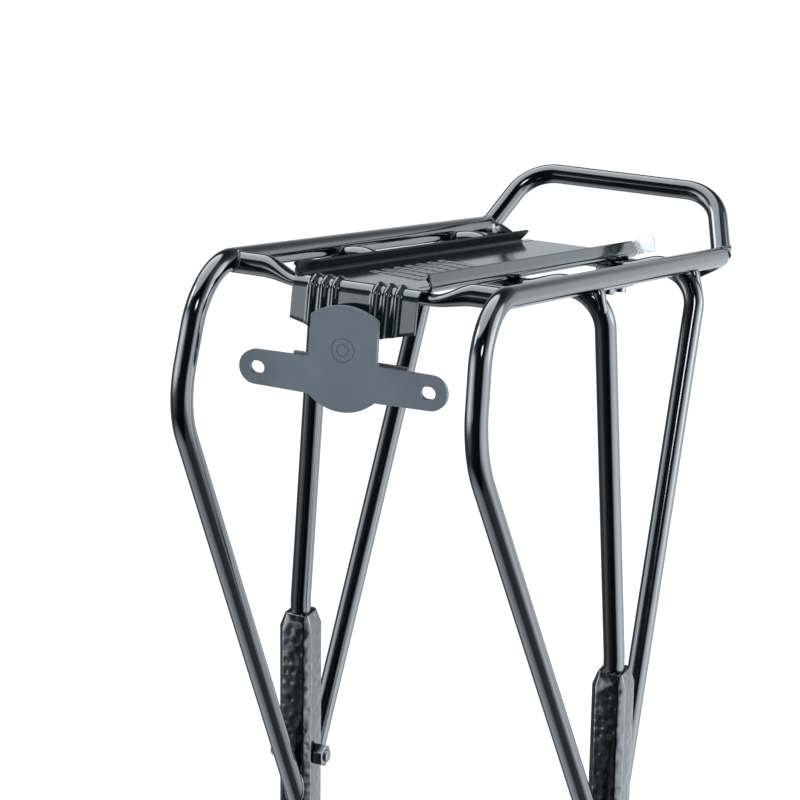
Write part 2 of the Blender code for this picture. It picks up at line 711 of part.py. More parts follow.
def slot_outline(centre_x, length, width):
    reach, radius = (length - width) / 2, width / 2
    slot = arc((centre_x + reach, 0.0), radius, -90.0, 90.0, 6)
    return slot + arc((centre_x - reach, 0.0), radius, 90.0, 270.0, 6)


def make_bracket(shop, coat, paint, steel):
    """The lamp bracket, which hangs behind the apron on two bosses."""
    middle = shop.empty("bracket_middle", (0.0, BRACKET_Y, RAIL_Z - BRACKET_BAR_DROP), BRACKET_TILT)
    outlines = [bracket_outline()]
    for side in (-1, 1):
        centre = side * BRACKET_HOLE_PITCH / 2
        outlines.append(slot_outline(centre, BRACKET_SLOT_LENGTH, BRACKET_SLOT_WIDTH))
    plate = outline_mesh("lamp_bracket", outlines, BRACKET_THICKNESS)
    bracket = shop.add("lamp_bracket", plate, coat, middle)
    bracket.rotation_euler = (math.pi / 2, 0.0, 0.0)
    bracket.location = (0.0, BRACKET_THICKNESS / 2 * MM, 0.0)
    z = RAIL_Z - BOSS_DROP
    plate_y = BRACKET_Y + (BRACKET_BAR_DROP - BOSS_DROP) * -math.tan(BRACKET_TILT)
    boss_start = plate_y + BRACKET_THICKNESS / 2
    boss_end = PLATE_REAR_Y - RIB_RADIUS - GAP
    bolt_start = boss_end - BRACKET_BOLT_BITE
    bolt_head = PLATE_REAR_Y + SHEET + GAP
    for side in (-1, 1):
        x = side * BOSS_X
        boss = cylinder_mesh("bracket_boss", BOSS_RADIUS, (x, boss_start, z), (x, boss_end, z))
        boolean(bracket, shop.add(sided("bracket_boss", side), boss, helper=True), "UNION")
        radius = BRACKET_BOLT_RADIUS + BOLT_CLEARANCE
        bore = cylinder_mesh("boss_bore", radius, (x, bolt_start - GAP, z), (x, boss_end + 5, z))
        boolean(bracket, shop.add(sided("boss_bore", side), bore, helper=True))
        shank = cylinder_mesh(
            "bracket_bolt", BRACKET_BOLT_RADIUS, (x, bolt_start, z), (x, bolt_head + 1, z)
        )
        bolt = shop.add(sided("bracket_bolt", side), shank, steel)
        head = cylinder_mesh(
            "bracket_bolt_head",
            BRACKET_BOLT_HEAD_RADIUS,
            (x, bolt_head, z),
            (x, bolt_head + BRACKET_BOLT_HEAD, z),
        )
        boolean(bolt, shop.add(sided("bracket_bolt_head", side), head, helper=True), "UNION")
    back = BRACKET_THICKNESS + GAP
    bar = box_mesh(
        "bracket_backing_bar",
        (BACKING_SHIFT - BACKING_LENGTH / 2, back, BACKING_LIFT - BACKING_HEIGHT / 2),
        (
            BACKING_SHIFT + BACKING_LENGTH / 2,
            back + BACKING_THICKNESS,
            BACKING_LIFT + BACKING_HEIGHT / 2,
        ),
    )
    shop.add("bracket_backing_bar", bar, paint, middle)


def make_stay(shop, side, paint, steel):
    """A slotted stay under the deck, held to the front arch by a clamp with two bolts."""
    seat = shop.empty(sided("stay_seat", side), (side * STAY_X, FRONT_ARCH_Y, 0.0))
    half_width = CLAMP_WIDTH / 2
    half_length = STAY_BOLT_PITCH / 2 + CLAMP_END
    flat_under = FLAT_TOP_Z - FLAT_HEIGHT
    body_under = flat_under - GAP - CLAMP_FLOOR
    body = box_mesh(
        "stay_clamp_body",
        (-half_width, -half_length, body_under),
        (half_width, half_length, FLAT_TOP_Z),
    )
    body = shop.add(sided("stay_clamp_body", side), body, paint, seat)
    half_channel = FLAT_WIDTH / 2 + GAP
    channel = box_mesh(
        "arch_channel",
        (-CLAMP_WIDTH, -half_channel, flat_under - GAP),
        (CLAMP_WIDTH, half_channel, FLAT_TOP_Z + 5),
    )
    boolean(body, shop.add(sided("arch_channel", side), channel, parent=seat, helper=True))
    stay_top = body_under - GAP
    slide = shop.empty(sided("stay_slide", side), (0.0, 0.0, stay_top - STAY_THICKNESS / 2))
    slide.parent = seat
    half = STAY_WIDTH / 2
    rim = arc((0.0, STAY_FRONT - half), half, 0.0, 180.0, 12)
    rim += arc((0.0, -STAY_REAR + half), half, 180.0, 360.0, 12)
    reach = STAY_BOLT_PITCH / 2
    radius = STAY_BOLT_RADIUS + BOLT_CLEARANCE
    slot = arc((0.0, reach), radius, 0.0, 180.0, 6)
    slot += arc((0.0, -reach - STAY_TRAVEL), radius, 180.0, 360.0, 6)
    tip = arc((0.0, STAY_FRONT - half), STAY_TIP_BORE_RADIUS, 0.0, 330.0, 11)
    shop.add(sided("stay", side), outline_mesh("stay", [rim, slot, tip], STAY_THICKNESS), paint, slide)
    cap_top = stay_top - STAY_THICKNESS - GAP
    cap_under = cap_top - CAP_THICKNESS
    cap = box_mesh(
        "stay_clamp_cap", (-half_width, -half_length, cap_under), (half_width, half_length, cap_top)
    )
    cap = shop.add(sided("stay_clamp_cap", side), cap, paint, seat)
    for place, y in (("rear", -reach), ("front", reach)):
        hole = cylinder_mesh("stay_bolt_hole", radius, (0, y, cap_under - 5), (0, y, FLAT_TOP_Z + 5))
        cutter = shop.add(f"{sided('stay_bolt_hole', side)}_{place}", hole, parent=seat, helper=True)
        boolean(body, cutter)
        boolean(cap, cutter)
        head_top = cap_under - GAP
        shank = cylinder_mesh(
            "stay_bolt", STAY_BOLT_RADIUS, (0, y, head_top - 1), (0, y, FLAT_TOP_Z - GAP)
        )
        bolt = shop.add(f"{sided('stay_bolt', side)}_{place}", shank, steel, seat)
        head = cylinder_mesh(
            "stay_bolt_head", STAY_BOLT_HEAD_RADIUS, (0, y, head_top - STAY_BOLT_HEAD), (0, y, head_top)
        )
        cutter = shop.add(f"{sided('stay_bolt_head', side)}_{place}", head, parent=seat, helper=True)
        boolean(bolt, cutter, "UNION")


def main():
    clear_scene()
    shop = Shop()
    paint = new_material("gloss_black_paint", (0.012, 0.014, 0.017), 0.18, 0.0)
    deck_paint = new_material("deck_black_paint", (0.020, 0.026, 0.032), 0.3, 0.0)
    slate = new_material("slate_coating", (0.11, 0.145, 0.175), 0.55, 0.0)
    steel = new_material("zinc_plated_steel", (0.45, 0.46, 0.48), 0.35, 1.0)
    clear = new_material("clear_plastic", (0.85, 0.9, 0.95), 0.12, 0.0, alpha=0.2)
    make_frame(shop, paint)
    make_plate(shop, deck_paint)
    make_end_stop(shop, clear)
    make_bracket(shop, slate, paint, steel)
    for side in (-1, 1):
        make_foot(shop, side, paint, steel)
        make_stay(shop, side, paint, steel)


main()
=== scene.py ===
"""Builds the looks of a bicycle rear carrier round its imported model.

Gloss black tubes with their weld beads, a pressed deck plate with a ribbed apron, a matte
lamp bracket, foot housings, feet, stays and fastenings, and the stage they are shown on.
"""

import math

import bmesh
import bpy
from bpy.props import FloatProperty, FloatVectorProperty, IntProperty, PointerProperty
from bpy.types import Operator, Panel, PropertyGroup
from mathutils import Matrix, Vector


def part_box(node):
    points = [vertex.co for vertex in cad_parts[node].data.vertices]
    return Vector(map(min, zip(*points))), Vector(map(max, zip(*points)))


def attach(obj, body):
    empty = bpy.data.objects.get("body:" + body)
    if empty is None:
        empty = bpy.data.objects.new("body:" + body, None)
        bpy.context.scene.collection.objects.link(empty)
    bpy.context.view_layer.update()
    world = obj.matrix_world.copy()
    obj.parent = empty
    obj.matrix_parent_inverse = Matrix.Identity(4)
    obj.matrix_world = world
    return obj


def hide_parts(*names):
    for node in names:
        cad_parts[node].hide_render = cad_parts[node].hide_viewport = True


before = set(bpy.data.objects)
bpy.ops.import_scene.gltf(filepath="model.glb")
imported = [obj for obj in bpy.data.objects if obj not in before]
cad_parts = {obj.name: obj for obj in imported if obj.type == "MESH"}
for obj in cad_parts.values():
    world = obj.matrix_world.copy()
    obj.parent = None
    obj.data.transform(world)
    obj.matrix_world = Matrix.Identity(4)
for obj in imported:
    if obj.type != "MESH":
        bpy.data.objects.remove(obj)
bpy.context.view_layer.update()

bl_info = {
    "name": "Bicycle rear carrier",
    "version": (1, 0, 0),
    "blender": (4, 5, 0),
    "location": "View3D > Sidebar > Carrier",
    "description": "Builds the tubes, deck, bracket, feet and stays of a bicycle's rear carrier",
    "category": "Add Mesh",
}

SIDES = (("left", -1), ("right", 1))
MM = 0.001
UP = Vector((0.0, 0.0, 1.0))
# Turns of a flat outline: facing the rear, and facing the side with its Y upwards
UPRIGHT = Matrix.Rotation(math.pi / 2, 4, "X")
LENGTHWISE = Matrix.Rotation(math.pi / 2, 4, "Z") @ UPRIGHT

# Places that the frame gives
PLATE_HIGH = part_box("top_plate")[1]
STOP_LOW, STOP_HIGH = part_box("flange_end_stop")

# The frame's tubes
TUBE_RADIUS = 5.0 * MM
RAIL_X = 65.0 * MM
RAIL_Z = 335.0 * MM
RAIL_REAR_Y = -205.0 * MM
RAIL_FRONT_Y = 131.0 * MM
STUB_X, STUB_DROP = 49.5 * MM, 9.0 * MM         # where a rail's turned-in front end stops
LEG_BEND_X, LEG_BEND_Y, LEG_BEND_DROP = 69.0 * MM, -210.0 * MM, 63.0 * MM
SIDE_TUBE_RADII = (12.0 * MM, 30.0 * MM, 45.0 * MM)
HOOP_BASE_X, HOOP_BASE_Y = 64.0 * MM, 128.0 * MM
HOOP_TOP_X, HOOP_LEAN, HOOP_RISE = 51.0 * MM, 21.0 * MM, 29.8 * MM
HOOP_RADIUS = 22.0 * MM
MIDDLE_ARCH_Y = -69.0 * MM
FRONT_ARCH_Y = 72.0 * MM
ARCH_CORNER_X = 70.4 * MM
ARCH_Z = RAIL_Z - 3.5 * MM
ARCH_RADIUS, LEG_RADIUS = 20.0 * MM, 45.0 * MM
REAR_TUBE_Y = -176.0 * MM
REAR_TUBE_Z = RAIL_Z - 1.0 * MM
FLAT_HALF_LENGTH, FLAT_RUN_OUT = 31.0, 19.0     # in mm, of the flats under the deck
FLAT_HEIGHT = 5.4 * MM
FLAT_WIDTH = 12.4 * MM
WELD_INSET = 0.7 * MM                           # of a weld's middle, inside the tube's surface
# Webs in the bends of the arches, in mm: outward from the middle, below the rails, radius
GUSSET = (
    (60.0, 0.0, 0.0), (69.6, 2.0, 0.0), (70.6, 5.0, 3.0), (71.8, 9.0, 4.0), (73.6, 14.5, 0.0),
    (68.0, 15.0, 0.0), (60.0, 8.0, 0.0),
)

# Deck plate
PLATE_TOP_Z = RAIL_Z - 1.0 * MM
PLATE_REAR_Y = -190.0 * MM
PLATE_FRONT_Y = 93.0 * MM
SHEET = 1.6 * MM
FLAT_TOP_Z = PLATE_TOP_Z - SHEET - 0.3 * MM
PLATE_HALF_WIDTH = 29.2 * MM
APRON_MIDDLE = 12.0 * MM                        # half the width over which it hangs lowest
APRON_DROP, APRON_RISE = 23.0, 4.0              # in mm
RIBS_A_SIDE, RIB_HALF_WIDTH = 3, 2.3 * MM
DECK_COLUMNS = 140
FINE_ROW, COARSE_ROW = 1.4 * MM, 8.0 * MM
GRIP_ROWS = (-155.0 * MM, -45.0 * MM)           # the fine rows
GRIP_BARS, GRIP_REAR_Y, GRIP_SLANT = 7, -150.0 * MM, 0.35
GRIP_HEIGHT, GRIP_HALF_LENGTH, GRIP_PITCH = 0.45 * MM, 15.0 * MM, 13.0 * MM
GROOVE_X, GROOVE_HALF_WIDTH, GROOVE_DEPTH = 24.6 * MM, 0.8 * MM, 0.35 * MM
FLANGE_LEAN, FLANGE_HEIGHT = 3.0 * MM, 5.7 * MM
FLANGE_ENDS = {-1: (-187.0 * MM, 84.0 * MM), 1: (-178.0 * MM, PLATE_FRONT_Y)}

# Lamp bracket, about the middle of its bar
BRACKET_Y, BRACKET_Z = -195.2 * MM, RAIL_Z - 42.7 * MM
BRACKET_TILT = math.radians(7.0)
BRACKET_HALF_WIDTH, BRACKET_ROOT, BRACKET_SHOULDER = 15.6 * MM, 8.0 * MM, 27.2 * MM
BAR_END_X, BAR_HALF_HEIGHT = 41.0 * MM, 7.6 * MM
SLOT_X = 40.0 * MM
BOSS_REAR_Y, BOSS_FRONT_Y = -197.0 * MM, -191.7 * MM

# Feet and their housings, measured up from the eyelet along the foot
FOOT_X = 81.5 * MM
TILT = math.atan2(-MIDDLE_ARCH_Y, ARCH_Z)
FOOT_HALF_WIDTH, FOOT_THICKNESS, FOOT_LENGTH = 7.0 * MM, 5.0 * MM, 130.0 * MM
EYELET_RADIUS, EYELET_BORE = 9.0 * MM, 2.75 * MM
FOOT_TRAVEL = 40.0 * MM
FOOT_BOLT_HEIGHT = 78.0 * MM
HOUSING_BOTTOM = 46.0 * MM
HOUSING_TOP = 154.0 * MM
ARCH_END_HEIGHT, ARCH_BEND_HEIGHT = HOUSING_TOP - 14.7 * MM, HOUSING_TOP + 6.0 * MM
HOUSING_TAPER = 7.0 * MM
HOUSING_WIDTH, HOUSING_DEPTH = 17.0 * MM, 18.0 * MM
HOUSING_FACE = 8.8 * MM                         # where its washer and nut sit
STAY_TRAVEL = 130.0 * MM

# Screws, in mm
SCREW_SIZES = ("Shank", "Length", "Head", "Head Height")
BRACKET_HEAD, STAY_HEAD = 2.6, 3.0              # heights of their heads

# Stage
FLOOR_Z = -0.055
LIGHT_AIM = Vector((0.0, 0.0, 0.25))
CAMERA_PLACE = (0.52096, -1.39518, 0.48109)
CAMERA_ANGLES = (22.346, 8.475, 5.431)          # azimuth, elevation and roll in degrees
CAMERA_LENS = 139.77
# Brightness of the studio's walls round the object, by degrees from +X towards +Y
WALLS = (
    (-180, 0.3), (-167, 0.8), (-152, 1.4), (-138, 1.5), (-124, 0.95), (-112, 0.35), (-100, 0.05),
    (-38, 0.02), (-30, 2.5), (-20, 6.5), (0, 8.5), (20, 8.5), (38, 6.0), (52, 3.0), (64, 1.8),
    (90, 1.0), (112, 0.7), (135, 0.25), (180, 0.3),
)
# How much of the walls shows, by degrees above the horizon
WALL_SHARE = (
    (-90, 0.03), (-50, 0.05), (-40, 0.3), (-28, 0.85), (-15, 1.0), (12, 1.0), (26, 0.3), (45, 0.1),
    (90, 0.05),
)
MOST_WALL = 9.0
# Round soft lights: direction, full and outer radius in degrees, brightness
LAMPS = (
    ((-0.42, -0.02, 0.90), 33.0, 39.0, 7.0),
    ((0.37, -0.80, 0.48), 5.0, 8.0, 24.0),
    ((-0.927, -0.374, -0.035), 0.0, 24.0, 6.5),
    ((-0.707, -0.707, -0.035), 0.0, 24.0, 6.5),
    ((-0.341, -0.934, -0.10), 3.0, 8.0, 3.4),
    ((0.09, 0.93, -0.36), 12.0, 24.0, 0.25),
    ((-0.41, 0.13, -0.90), 8.0, 34.0, 2.0),
    ((-0.86, -0.23, 0.47), 8.0, 13.0, 14.0),
    ((0.85, 0.35, 0.40), 16.0, 26.0, 7.0),
)


# Settings a user would change

def length(name, description, default):
    return FloatProperty(name=name, description=description, default=default, unit="LENGTH")


def colour(name, description, default):
    return FloatVectorProperty(name=name, description=description, subtype="COLOR", default=default)


class TubeSettings(PropertyGroup):
    """Sizes of the frame's tubes and of their welds."""

    bead: length("Weld bead", "Radius of a weld bead", 1.3 * MM)
    bead_pitch: length("Bead pitch", "Distance between two ripples of a weld bead", 0.8 * MM)
    sides: IntProperty(
        name="Sides",
        description="Number of sides of a tube's mesh, as a curve's bevel resolution",
        default=16,
    )
    paint: colour("Paint", "Colour of the gloss paint", (0.0015, 0.0022, 0.0028))


class DeckSettings(PropertyGroup):
    """Sizes of the deck plate."""

    half_width: length("Half width", "Half the width of the flat sheet", PLATE_HALF_WIDTH)
    bend_radius: length("Bend radius", "Outer radius of the bend between deck and apron", 5.2 * MM)
    rib_height: length("Rib height", "Height of a rib pressed into apron and bend", 1.4 * MM)
    rib_pitch: length("Rib pitch", "Distance between two ribs", 5.2 * MM)
    rib_first: length("First rib", "Distance from the middle to the first rib", 9.5 * MM)
    paint: colour("Paint", "Colour of the deck's paint", (0.003, 0.008, 0.010))


class BracketSettings(PropertyGroup):
    """Sizes of the lamp bracket."""

    thickness: length("Thickness", "Thickness of the bracket", 2.5 * MM)
    edge: length("Edge", "Radius of the bracket's rounded edges", 0.5 * MM)
    coat: colour("Coat", "Colour of the matte coat", (0.066, 0.089, 0.112))


class StageSettings(PropertyGroup):
    """Light and floor."""

    wall: FloatProperty(
        name="Key light",
        description="Power of the big soft light on the right",
        default=25.0,
        unit="POWER",
    )
    soft: FloatProperty(
        name="Soft light",
        description="Strength of the even light from all round",
        default=1.08,
    )
    sky: colour("Sky", "Colour of the studio's light", (0.86, 0.94, 1.0))
    floor: colour("Floor", "Colour of the floor", (0.97, 0.97, 0.97))


# Node trees

def add_node(tree, kind, inputs=None, **settings):
    """Adds a node; each input named is linked to the socket given, or set to the value."""
    node = tree.nodes.new(kind)
    for key, value in settings.items():
        setattr(node, key, value)
    for key, value in (inputs or {}).items():
        if isinstance(value, bpy.types.NodeSocket):
            tree.links.new(value, node.inputs[key])
        else:
            node.inputs[key].default_value = value
    return node


class Paint:
    """A material under way: its shader's plain values, and textures to link to it."""

    def __init__(self, name, **values):
        self.material = bpy.data.materials.new(name)
        self.material.use_nodes = True
        self.tree = self.material.node_tree
        self.shader = self.tree.nodes["Principled BSDF"]
        self.place = self.add("ShaderNodeTexCoord").outputs["Object"]
        for key, value in values.items():
            self.shader.inputs[key.replace("_", " ")].default_value = value

    def add(self, kind, inputs=None, **settings):
        return add_node(self.tree, kind, inputs, **settings)

    def stretched(self, scale):
        inputs = {"Vector": self.place, "Scale": scale}
        return self.add("ShaderNodeMapping", inputs).outputs["Vector"]

    def noise(self, scale, detail=3.0, vector=None):
        inputs = {"Scale": scale, "Detail": detail, "Vector": vector or self.place}
        return self.add("ShaderNodeTexNoise", inputs).outputs["Fac"]

    def tones(self, source, low, high, start=0.35, end=0.65):
        """Turns a texture's value into colours between low and high."""
        ramp = self.add("ShaderNodeValToRGB", {"Fac": source})
        ends = ramp.color_ramp.elements
        ends[0].position, ends[1].position = start, end
        ends[0].color, ends[1].color = (*low, 1.0), (*high, 1.0)
        return ramp.outputs["Color"]

    def spread(self, source, low, high):
        inputs = {"Value": source, "To Min": low, "To Max": high}
        return self.add("ShaderNodeMapRange", inputs).outputs["Result"]

    def bump(self, height, strength, distance, after=None):
        inputs = {"Height": height, "Strength": strength, "Distance": distance}
        if after:
            inputs["Normal"] = after
        return self.add("ShaderNodeBump", inputs).outputs["Normal"]

    def finished(self, colour, roughness=None, normal=None):
        """Links the three textures to the shader and returns the material."""
        for key, source in (("Base Color", colour), ("Roughness", roughness), ("Normal", normal)):
            if source:
                self.tree.links.new(source, self.shader.inputs[key])
        return self.material


# Materials

def shade(colour, factor):
    return tuple(min(value * factor, 1.0) for value in colour)


def gloss_paint(name, colour):
    """Sprayed gloss paint: fine orange peel, a faint drift of tone and a clear top coat."""
    paint = Paint(name, Metallic=0.0, IOR=1.5, Coat_Weight=0.15, Coat_Roughness=0.05)
    return paint.finished(
        paint.tones(paint.noise(28.0), shade(colour, 0.8), shade(colour, 1.25)),
        paint.spread(paint.noise(90.0), 0.07, 0.13),
        paint.bump(paint.noise(650.0, 2.0), 0.05, 0.05 * MM),
    )


def deck_paint(name, colour):
    """Gloss paint over a rolled sheet, whose fine lines run the length of the deck."""
    paint = Paint(name, Metallic=0.0, IOR=1.5, Coat_Weight=0.1, Coat_Roughness=0.08)
    grain = paint.noise(600.0, 4.0, paint.stretched((1.0, 0.012, 1.0)))
    lines = paint.bump(grain, 0.12, 0.08 * MM)
    return paint.finished(
        paint.tones(grain, shade(colour, 0.75), shade(colour, 1.4)),
        paint.spread(grain, 0.05, 0.11),
        paint.bump(paint.noise(500.0, 2.0), 0.06, 0.05 * MM, lines),
    )


def shaded_flange_paint(name, colour):
    """Darker, duller copy of the paint for the left flange, as painted shade on its dark inner
    face: satin black that hardly shines, fine grain and a faint drift of tone.
    """
    paint = Paint(name, Metallic=0.0, IOR=1.25)
    return paint.finished(
        paint.tones(paint.noise(45.0), shade(colour, 0.8), shade(colour, 1.5)),
        paint.spread(paint.noise(160.0), 0.3, 0.42),
        paint.bump(paint.noise(900.0, 2.0), 0.12, 0.05 * MM),
    )


def powder_coat(name, colour):
    """Matte powder coat: fine grain, soft blotches of tone and a dull sheen."""
    paint = Paint(name, Metallic=0.0, IOR=1.45)
    return paint.finished(
        paint.tones(paint.noise(60.0, 4.0), shade(colour, 0.9), shade(colour, 1.1)),
        paint.spread(paint.noise(240.0), 0.42, 0.58),
        paint.bump(paint.noise(1800.0, 2.0), 0.22, 0.05 * MM),
    )


def hammered_paint(name, colour):
    """Gloss paint on a cast face, which stays lumpy under it."""
    paint = Paint(name, Metallic=0.0, IOR=1.5, Coat_Weight=0.15, Coat_Roughness=0.06)
    inputs = {"Scale": 260.0, "Vector": paint.place}
    cells = paint.add("ShaderNodeTexVoronoi", inputs, feature="SMOOTH_F1")
    return paint.finished(
        paint.tones(paint.noise(40.0), shade(colour, 0.8), shade(colour, 1.4)),
        paint.spread(paint.noise(120.0), 0.1, 0.22),
        paint.bump(cells.outputs["Distance"], 0.9, 0.6 * MM),
    )


def plated_steel(name, colour):
    """Zinc on steel, turned lines faint under it."""
    paint = Paint(name, Metallic=1.0)
    return paint.finished(
        paint.tones(paint.noise(180.0), shade(colour, 0.85), shade(colour, 1.15)),
        paint.spread(paint.noise(400.0), 0.22, 0.38),
        paint.bump(paint.noise(1500.0, 2.0), 0.1, 0.04 * MM),
    )


def rolled_alloy(name, colour):
    """Anodised alloy bar with rolling lines along its length."""
    paint = Paint(name, Metallic=0.0, IOR=1.5)
    lines = paint.noise(900.0, 3.0, paint.stretched((1.0, 1.0, 0.03)))
    return paint.finished(
        paint.tones(lines, shade(colour, 0.8), shade(colour, 1.15)),
        paint.spread(lines, 0.25, 0.45),
        paint.bump(lines, 0.12, 0.05 * MM),
    )


def moulded_black(name):
    """Moulded black plastic with a fine spark-eroded grain."""
    paint = Paint(name, Metallic=0.0, IOR=1.46)
    return paint.finished(
        paint.tones(paint.noise(70.0), (0.012, 0.012, 0.013), (0.022, 0.022, 0.024)),
        paint.spread(paint.noise(300.0), 0.4, 0.55),
        paint.bump(paint.noise(1600.0, 2.0), 0.2, 0.05 * MM),
    )


def clear_plastic(name):
    """Clear moulded plastic, slightly milky where it has been handled."""
    paint = Paint(name, Metallic=0.0, IOR=1.45, Transmission_Weight=0.92)
    return paint.finished(
        paint.tones(paint.noise(50.0), (0.70, 0.75, 0.79), (0.84, 0.88, 0.91)),
        paint.spread(paint.noise(120.0), 0.04, 0.12),
        paint.bump(paint.noise(200.0, 1.0), 0.04, 0.1 * MM),
    )


def floor_paint(name, colour):
    """Matte studio floor."""
    paint = Paint(name, Metallic=0.0, Roughness=0.9, Specular_IOR_Level=0.0)
    return paint.finished(paint.tones(paint.noise(3.0), shade(colour, 0.985), colour))


# Each finish: the record's material slot and what makes it from the scene's settings
FINISHES = {
    "frame paint": (
        "frame_paint",
        lambda name, scene: gloss_paint(name, scene.carrier_tubes.paint),
    ),
    "housing paint": (
        "frame_paint",
        lambda name, scene: hammered_paint(name, scene.carrier_tubes.paint),
    ),
    "deck paint": ("deck_paint", lambda name, scene: deck_paint(name, scene.carrier_deck.paint)),
    # The left flange's darker, duller paint is painted shade; the right flange keeps the deck paint
    "shaded flange paint": (
        "deck_paint",
        lambda name, scene: shaded_flange_paint(name, scene.carrier_tubes.paint),
    ),
    "bracket coat": (
        "slate_coat",
        lambda name, scene: powder_coat(name, scene.carrier_bracket.coat),
    ),
    "zinc": ("zinc_steel", lambda name, scene: plated_steel(name, (0.10, 0.102, 0.107))),
    "foot alloy": ("foot_metal", lambda name, scene: rolled_alloy(name, (0.17, 0.175, 0.185))),
    "black plastic": ("dark_plastic", lambda name, scene: moulded_black(name)),
    "clear plastic": ("clear_plastic", lambda name, scene: clear_plastic(name)),
}
_materials = {}


def finish(name):
    """The named finish, made when it is first asked for."""
    if name not in _materials:
        _materials[name] = FINISHES[name][1](name, bpy.context.scene)
    return _materials[name]


# Shapes

def smooth(value):
    value = min(max(value, 0.0), 1.0)
    return value * value * (3.0 - 2.0 * value)


def box_middle(name):
    low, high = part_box(name)
    return [(a + b) / 2 for a, b in zip(low, high)]


def mesh_of(bm, name):
    mesh = bpy.data.meshes.new(name)
    bmesh.ops.recalc_face_normals(bm, faces=bm.faces)
    bm.to_mesh(mesh)
    bm.free()
    return mesh


def evaluated_mesh(obj):
    """The plain mesh of an object with its modifiers applied; the object goes."""
    bpy.context.view_layer.update()
    evaluated = obj.evaluated_get(bpy.context.evaluated_depsgraph_get())
    mesh = bpy.data.meshes.new_from_object(evaluated)
    source = obj.data
    bpy.data.objects.remove(obj)
    if source.users == 0:
        (bpy.data.curves if isinstance(source, bpy.types.Curve) else bpy.data.meshes).remove(source)
    return mesh


def guide_object(name, data):
    obj = bpy.data.objects.new(name, data)
    bpy.context.scene.collection.objects.link(obj)
    return obj


def welded_mesh(obj, name):
    """A curve's mesh with its caps joined on and its faces out."""
    mesh = evaluated_mesh(obj)
    bm = bmesh.new()
    bm.from_mesh(mesh)
    bpy.data.meshes.remove(mesh)
    bmesh.ops.remove_doubles(bm, verts=bm.verts, dist=1e-6)
    return mesh_of(bm, name)


def tube_mesh(name, path, radius=TUBE_RADIUS):
    curve = bpy.data.curves.new(name, "CURVE")
    curve.dimensions = "3D"
    curve.bevel_depth = radius
    curve.bevel_resolution = bpy.context.scene.carrier_tubes.sides
    curve.use_fill_caps = True
    spline = curve.splines.new("POLY")
    spline.points.add(len(path) - 1)
    for point, place in zip(spline.points, path):
        point.co = (*place, 1.0)
    return welded_mesh(guide_object(name, curve), name)


def outline_mesh(name, outlines, thickness):
    """Flat outlines in X and Y, as thick along Z, holes after the rim."""
    curve = bpy.data.curves.new(name, "CURVE")
    curve.dimensions = "2D"
    curve.fill_mode = "BOTH"
    curve.extrude = thickness / 2
    for outline in outlines:
        spline = curve.splines.new("POLY")
        spline.points.add(len(outline) - 1)
        spline.use_cyclic_u = True
        for point, (x, y) in zip(spline.points, outline):
            point.co = (x, y, 0.0, 1.0)
    return welded_mesh(guide_object(name, curve), name)


def arc(centre, radius, start, end, steps):
    """Points of a flat arc, angles in degrees."""
    angles = (math.radians(start + (end - start) * i / steps) for i in range(steps + 1))
    return [(centre[0] + radius * math.cos(a), centre[1] + radius * math.sin(a)) for a in angles]


def slot_outline(x, low, high, radius, steps):
    """A slot along Y whose ends are half circles about (x, low) and (x, high)."""
    return arc((x, high), radius, 0.0, 180.0, steps) + arc((x, low), radius, 180.0, 360.0, steps)


def corner_spokes(before, corner, after, radius):
    """The middle of the arc that rounds a corner, and its spokes to the arc's two ends."""
    back = (before - corner).normalized()
    ahead = (after - corner).normalized()
    half = back.angle(ahead) / 2
    centre = corner + (back + ahead).normalized() * (radius / math.sin(half))
    reach = radius / math.tan(half)
    return centre, corner + back * reach - centre, corner + ahead * reach - centre


def rounded(corners, steps=6):
    """A closed outline from (x, y, radius) corners, each rounded to its radius."""
    points = []
    places = [Vector(corner[:2]) for corner in corners]
    for i, (x, y, radius) in enumerate(corners):
        if radius == 0.0:
            points.append((x, y))
            continue
        after = places[(i + 1) % len(corners)]
        centre, first, last = corner_spokes(places[i - 1], places[i], after, radius)
        turn = first.angle_signed(last)
        for k in range(steps + 1):
            spoke = first.copy()
            spoke.rotate(Matrix.Rotation(-turn * k / steps, 2))
            points.append(tuple(centre + spoke))
    return points


def bent_path(corners, radii, steps=24):
    """A path through corners, each inner one rounded to its radius."""
    corners = [Vector(corner) for corner in corners]
    path = [corners[0]]
    for before, corner, after, radius in zip(corners, corners[1:], corners[2:], radii):
        centre, first, last = corner_spokes(before, corner, after, radius)
        turn = [first.slerp(last, i / steps).normalized() for i in range(steps + 1)]
        path += [centre + spoke * radius for spoke in turn]
    return path + [corners[-1]]


def add_bevel(obj, width, segments, angle):
    bevel = obj.modifiers.new("edges", "BEVEL")
    bevel.width = width
    bevel.segments = segments
    bevel.limit_method = "ANGLE"
    bevel.angle_limit = math.radians(angle)


def rounded_edges(mesh, width, segments=3, angle=35.0):
    """The mesh with its sharp edges rounded."""
    obj = guide_object(mesh.name, mesh)
    add_bevel(obj, width, segments, angle)
    return evaluated_mesh(obj)


def pressed_sheet(name, rows, outward, angle):
    """Sheet metal whose outer face runs through rows of points, its edges rounded."""
    bm = bmesh.new()
    grid = [[bm.verts.new(point) for point in row] for row in rows]
    for low, high in zip(grid, grid[1:]):
        for i in range(len(low) - 1):
            bm.faces.new((low[i], low[i + 1], high[i + 1], high[i]))
    mesh = mesh_of(bm, name)
    obj = guide_object(name, mesh)
    wall = obj.modifiers.new("sheet", "SOLIDIFY")
    wall.thickness = SHEET - 0.2 * MM
    wall.offset = -1.0 if mesh.polygons[-1].normal.dot(outward) > 0 else 1.0
    add_bevel(obj, 0.3 * MM, 2, angle)
    return evaluated_mesh(obj)


def joined(name, meshes):
    """One mesh of several."""
    bm = bmesh.new()
    for mesh in meshes:
        bm.from_mesh(mesh)
        bpy.data.meshes.remove(mesh)
    mesh = bpy.data.meshes.new(name)
    bm.to_mesh(mesh)
    bm.free()
    return mesh


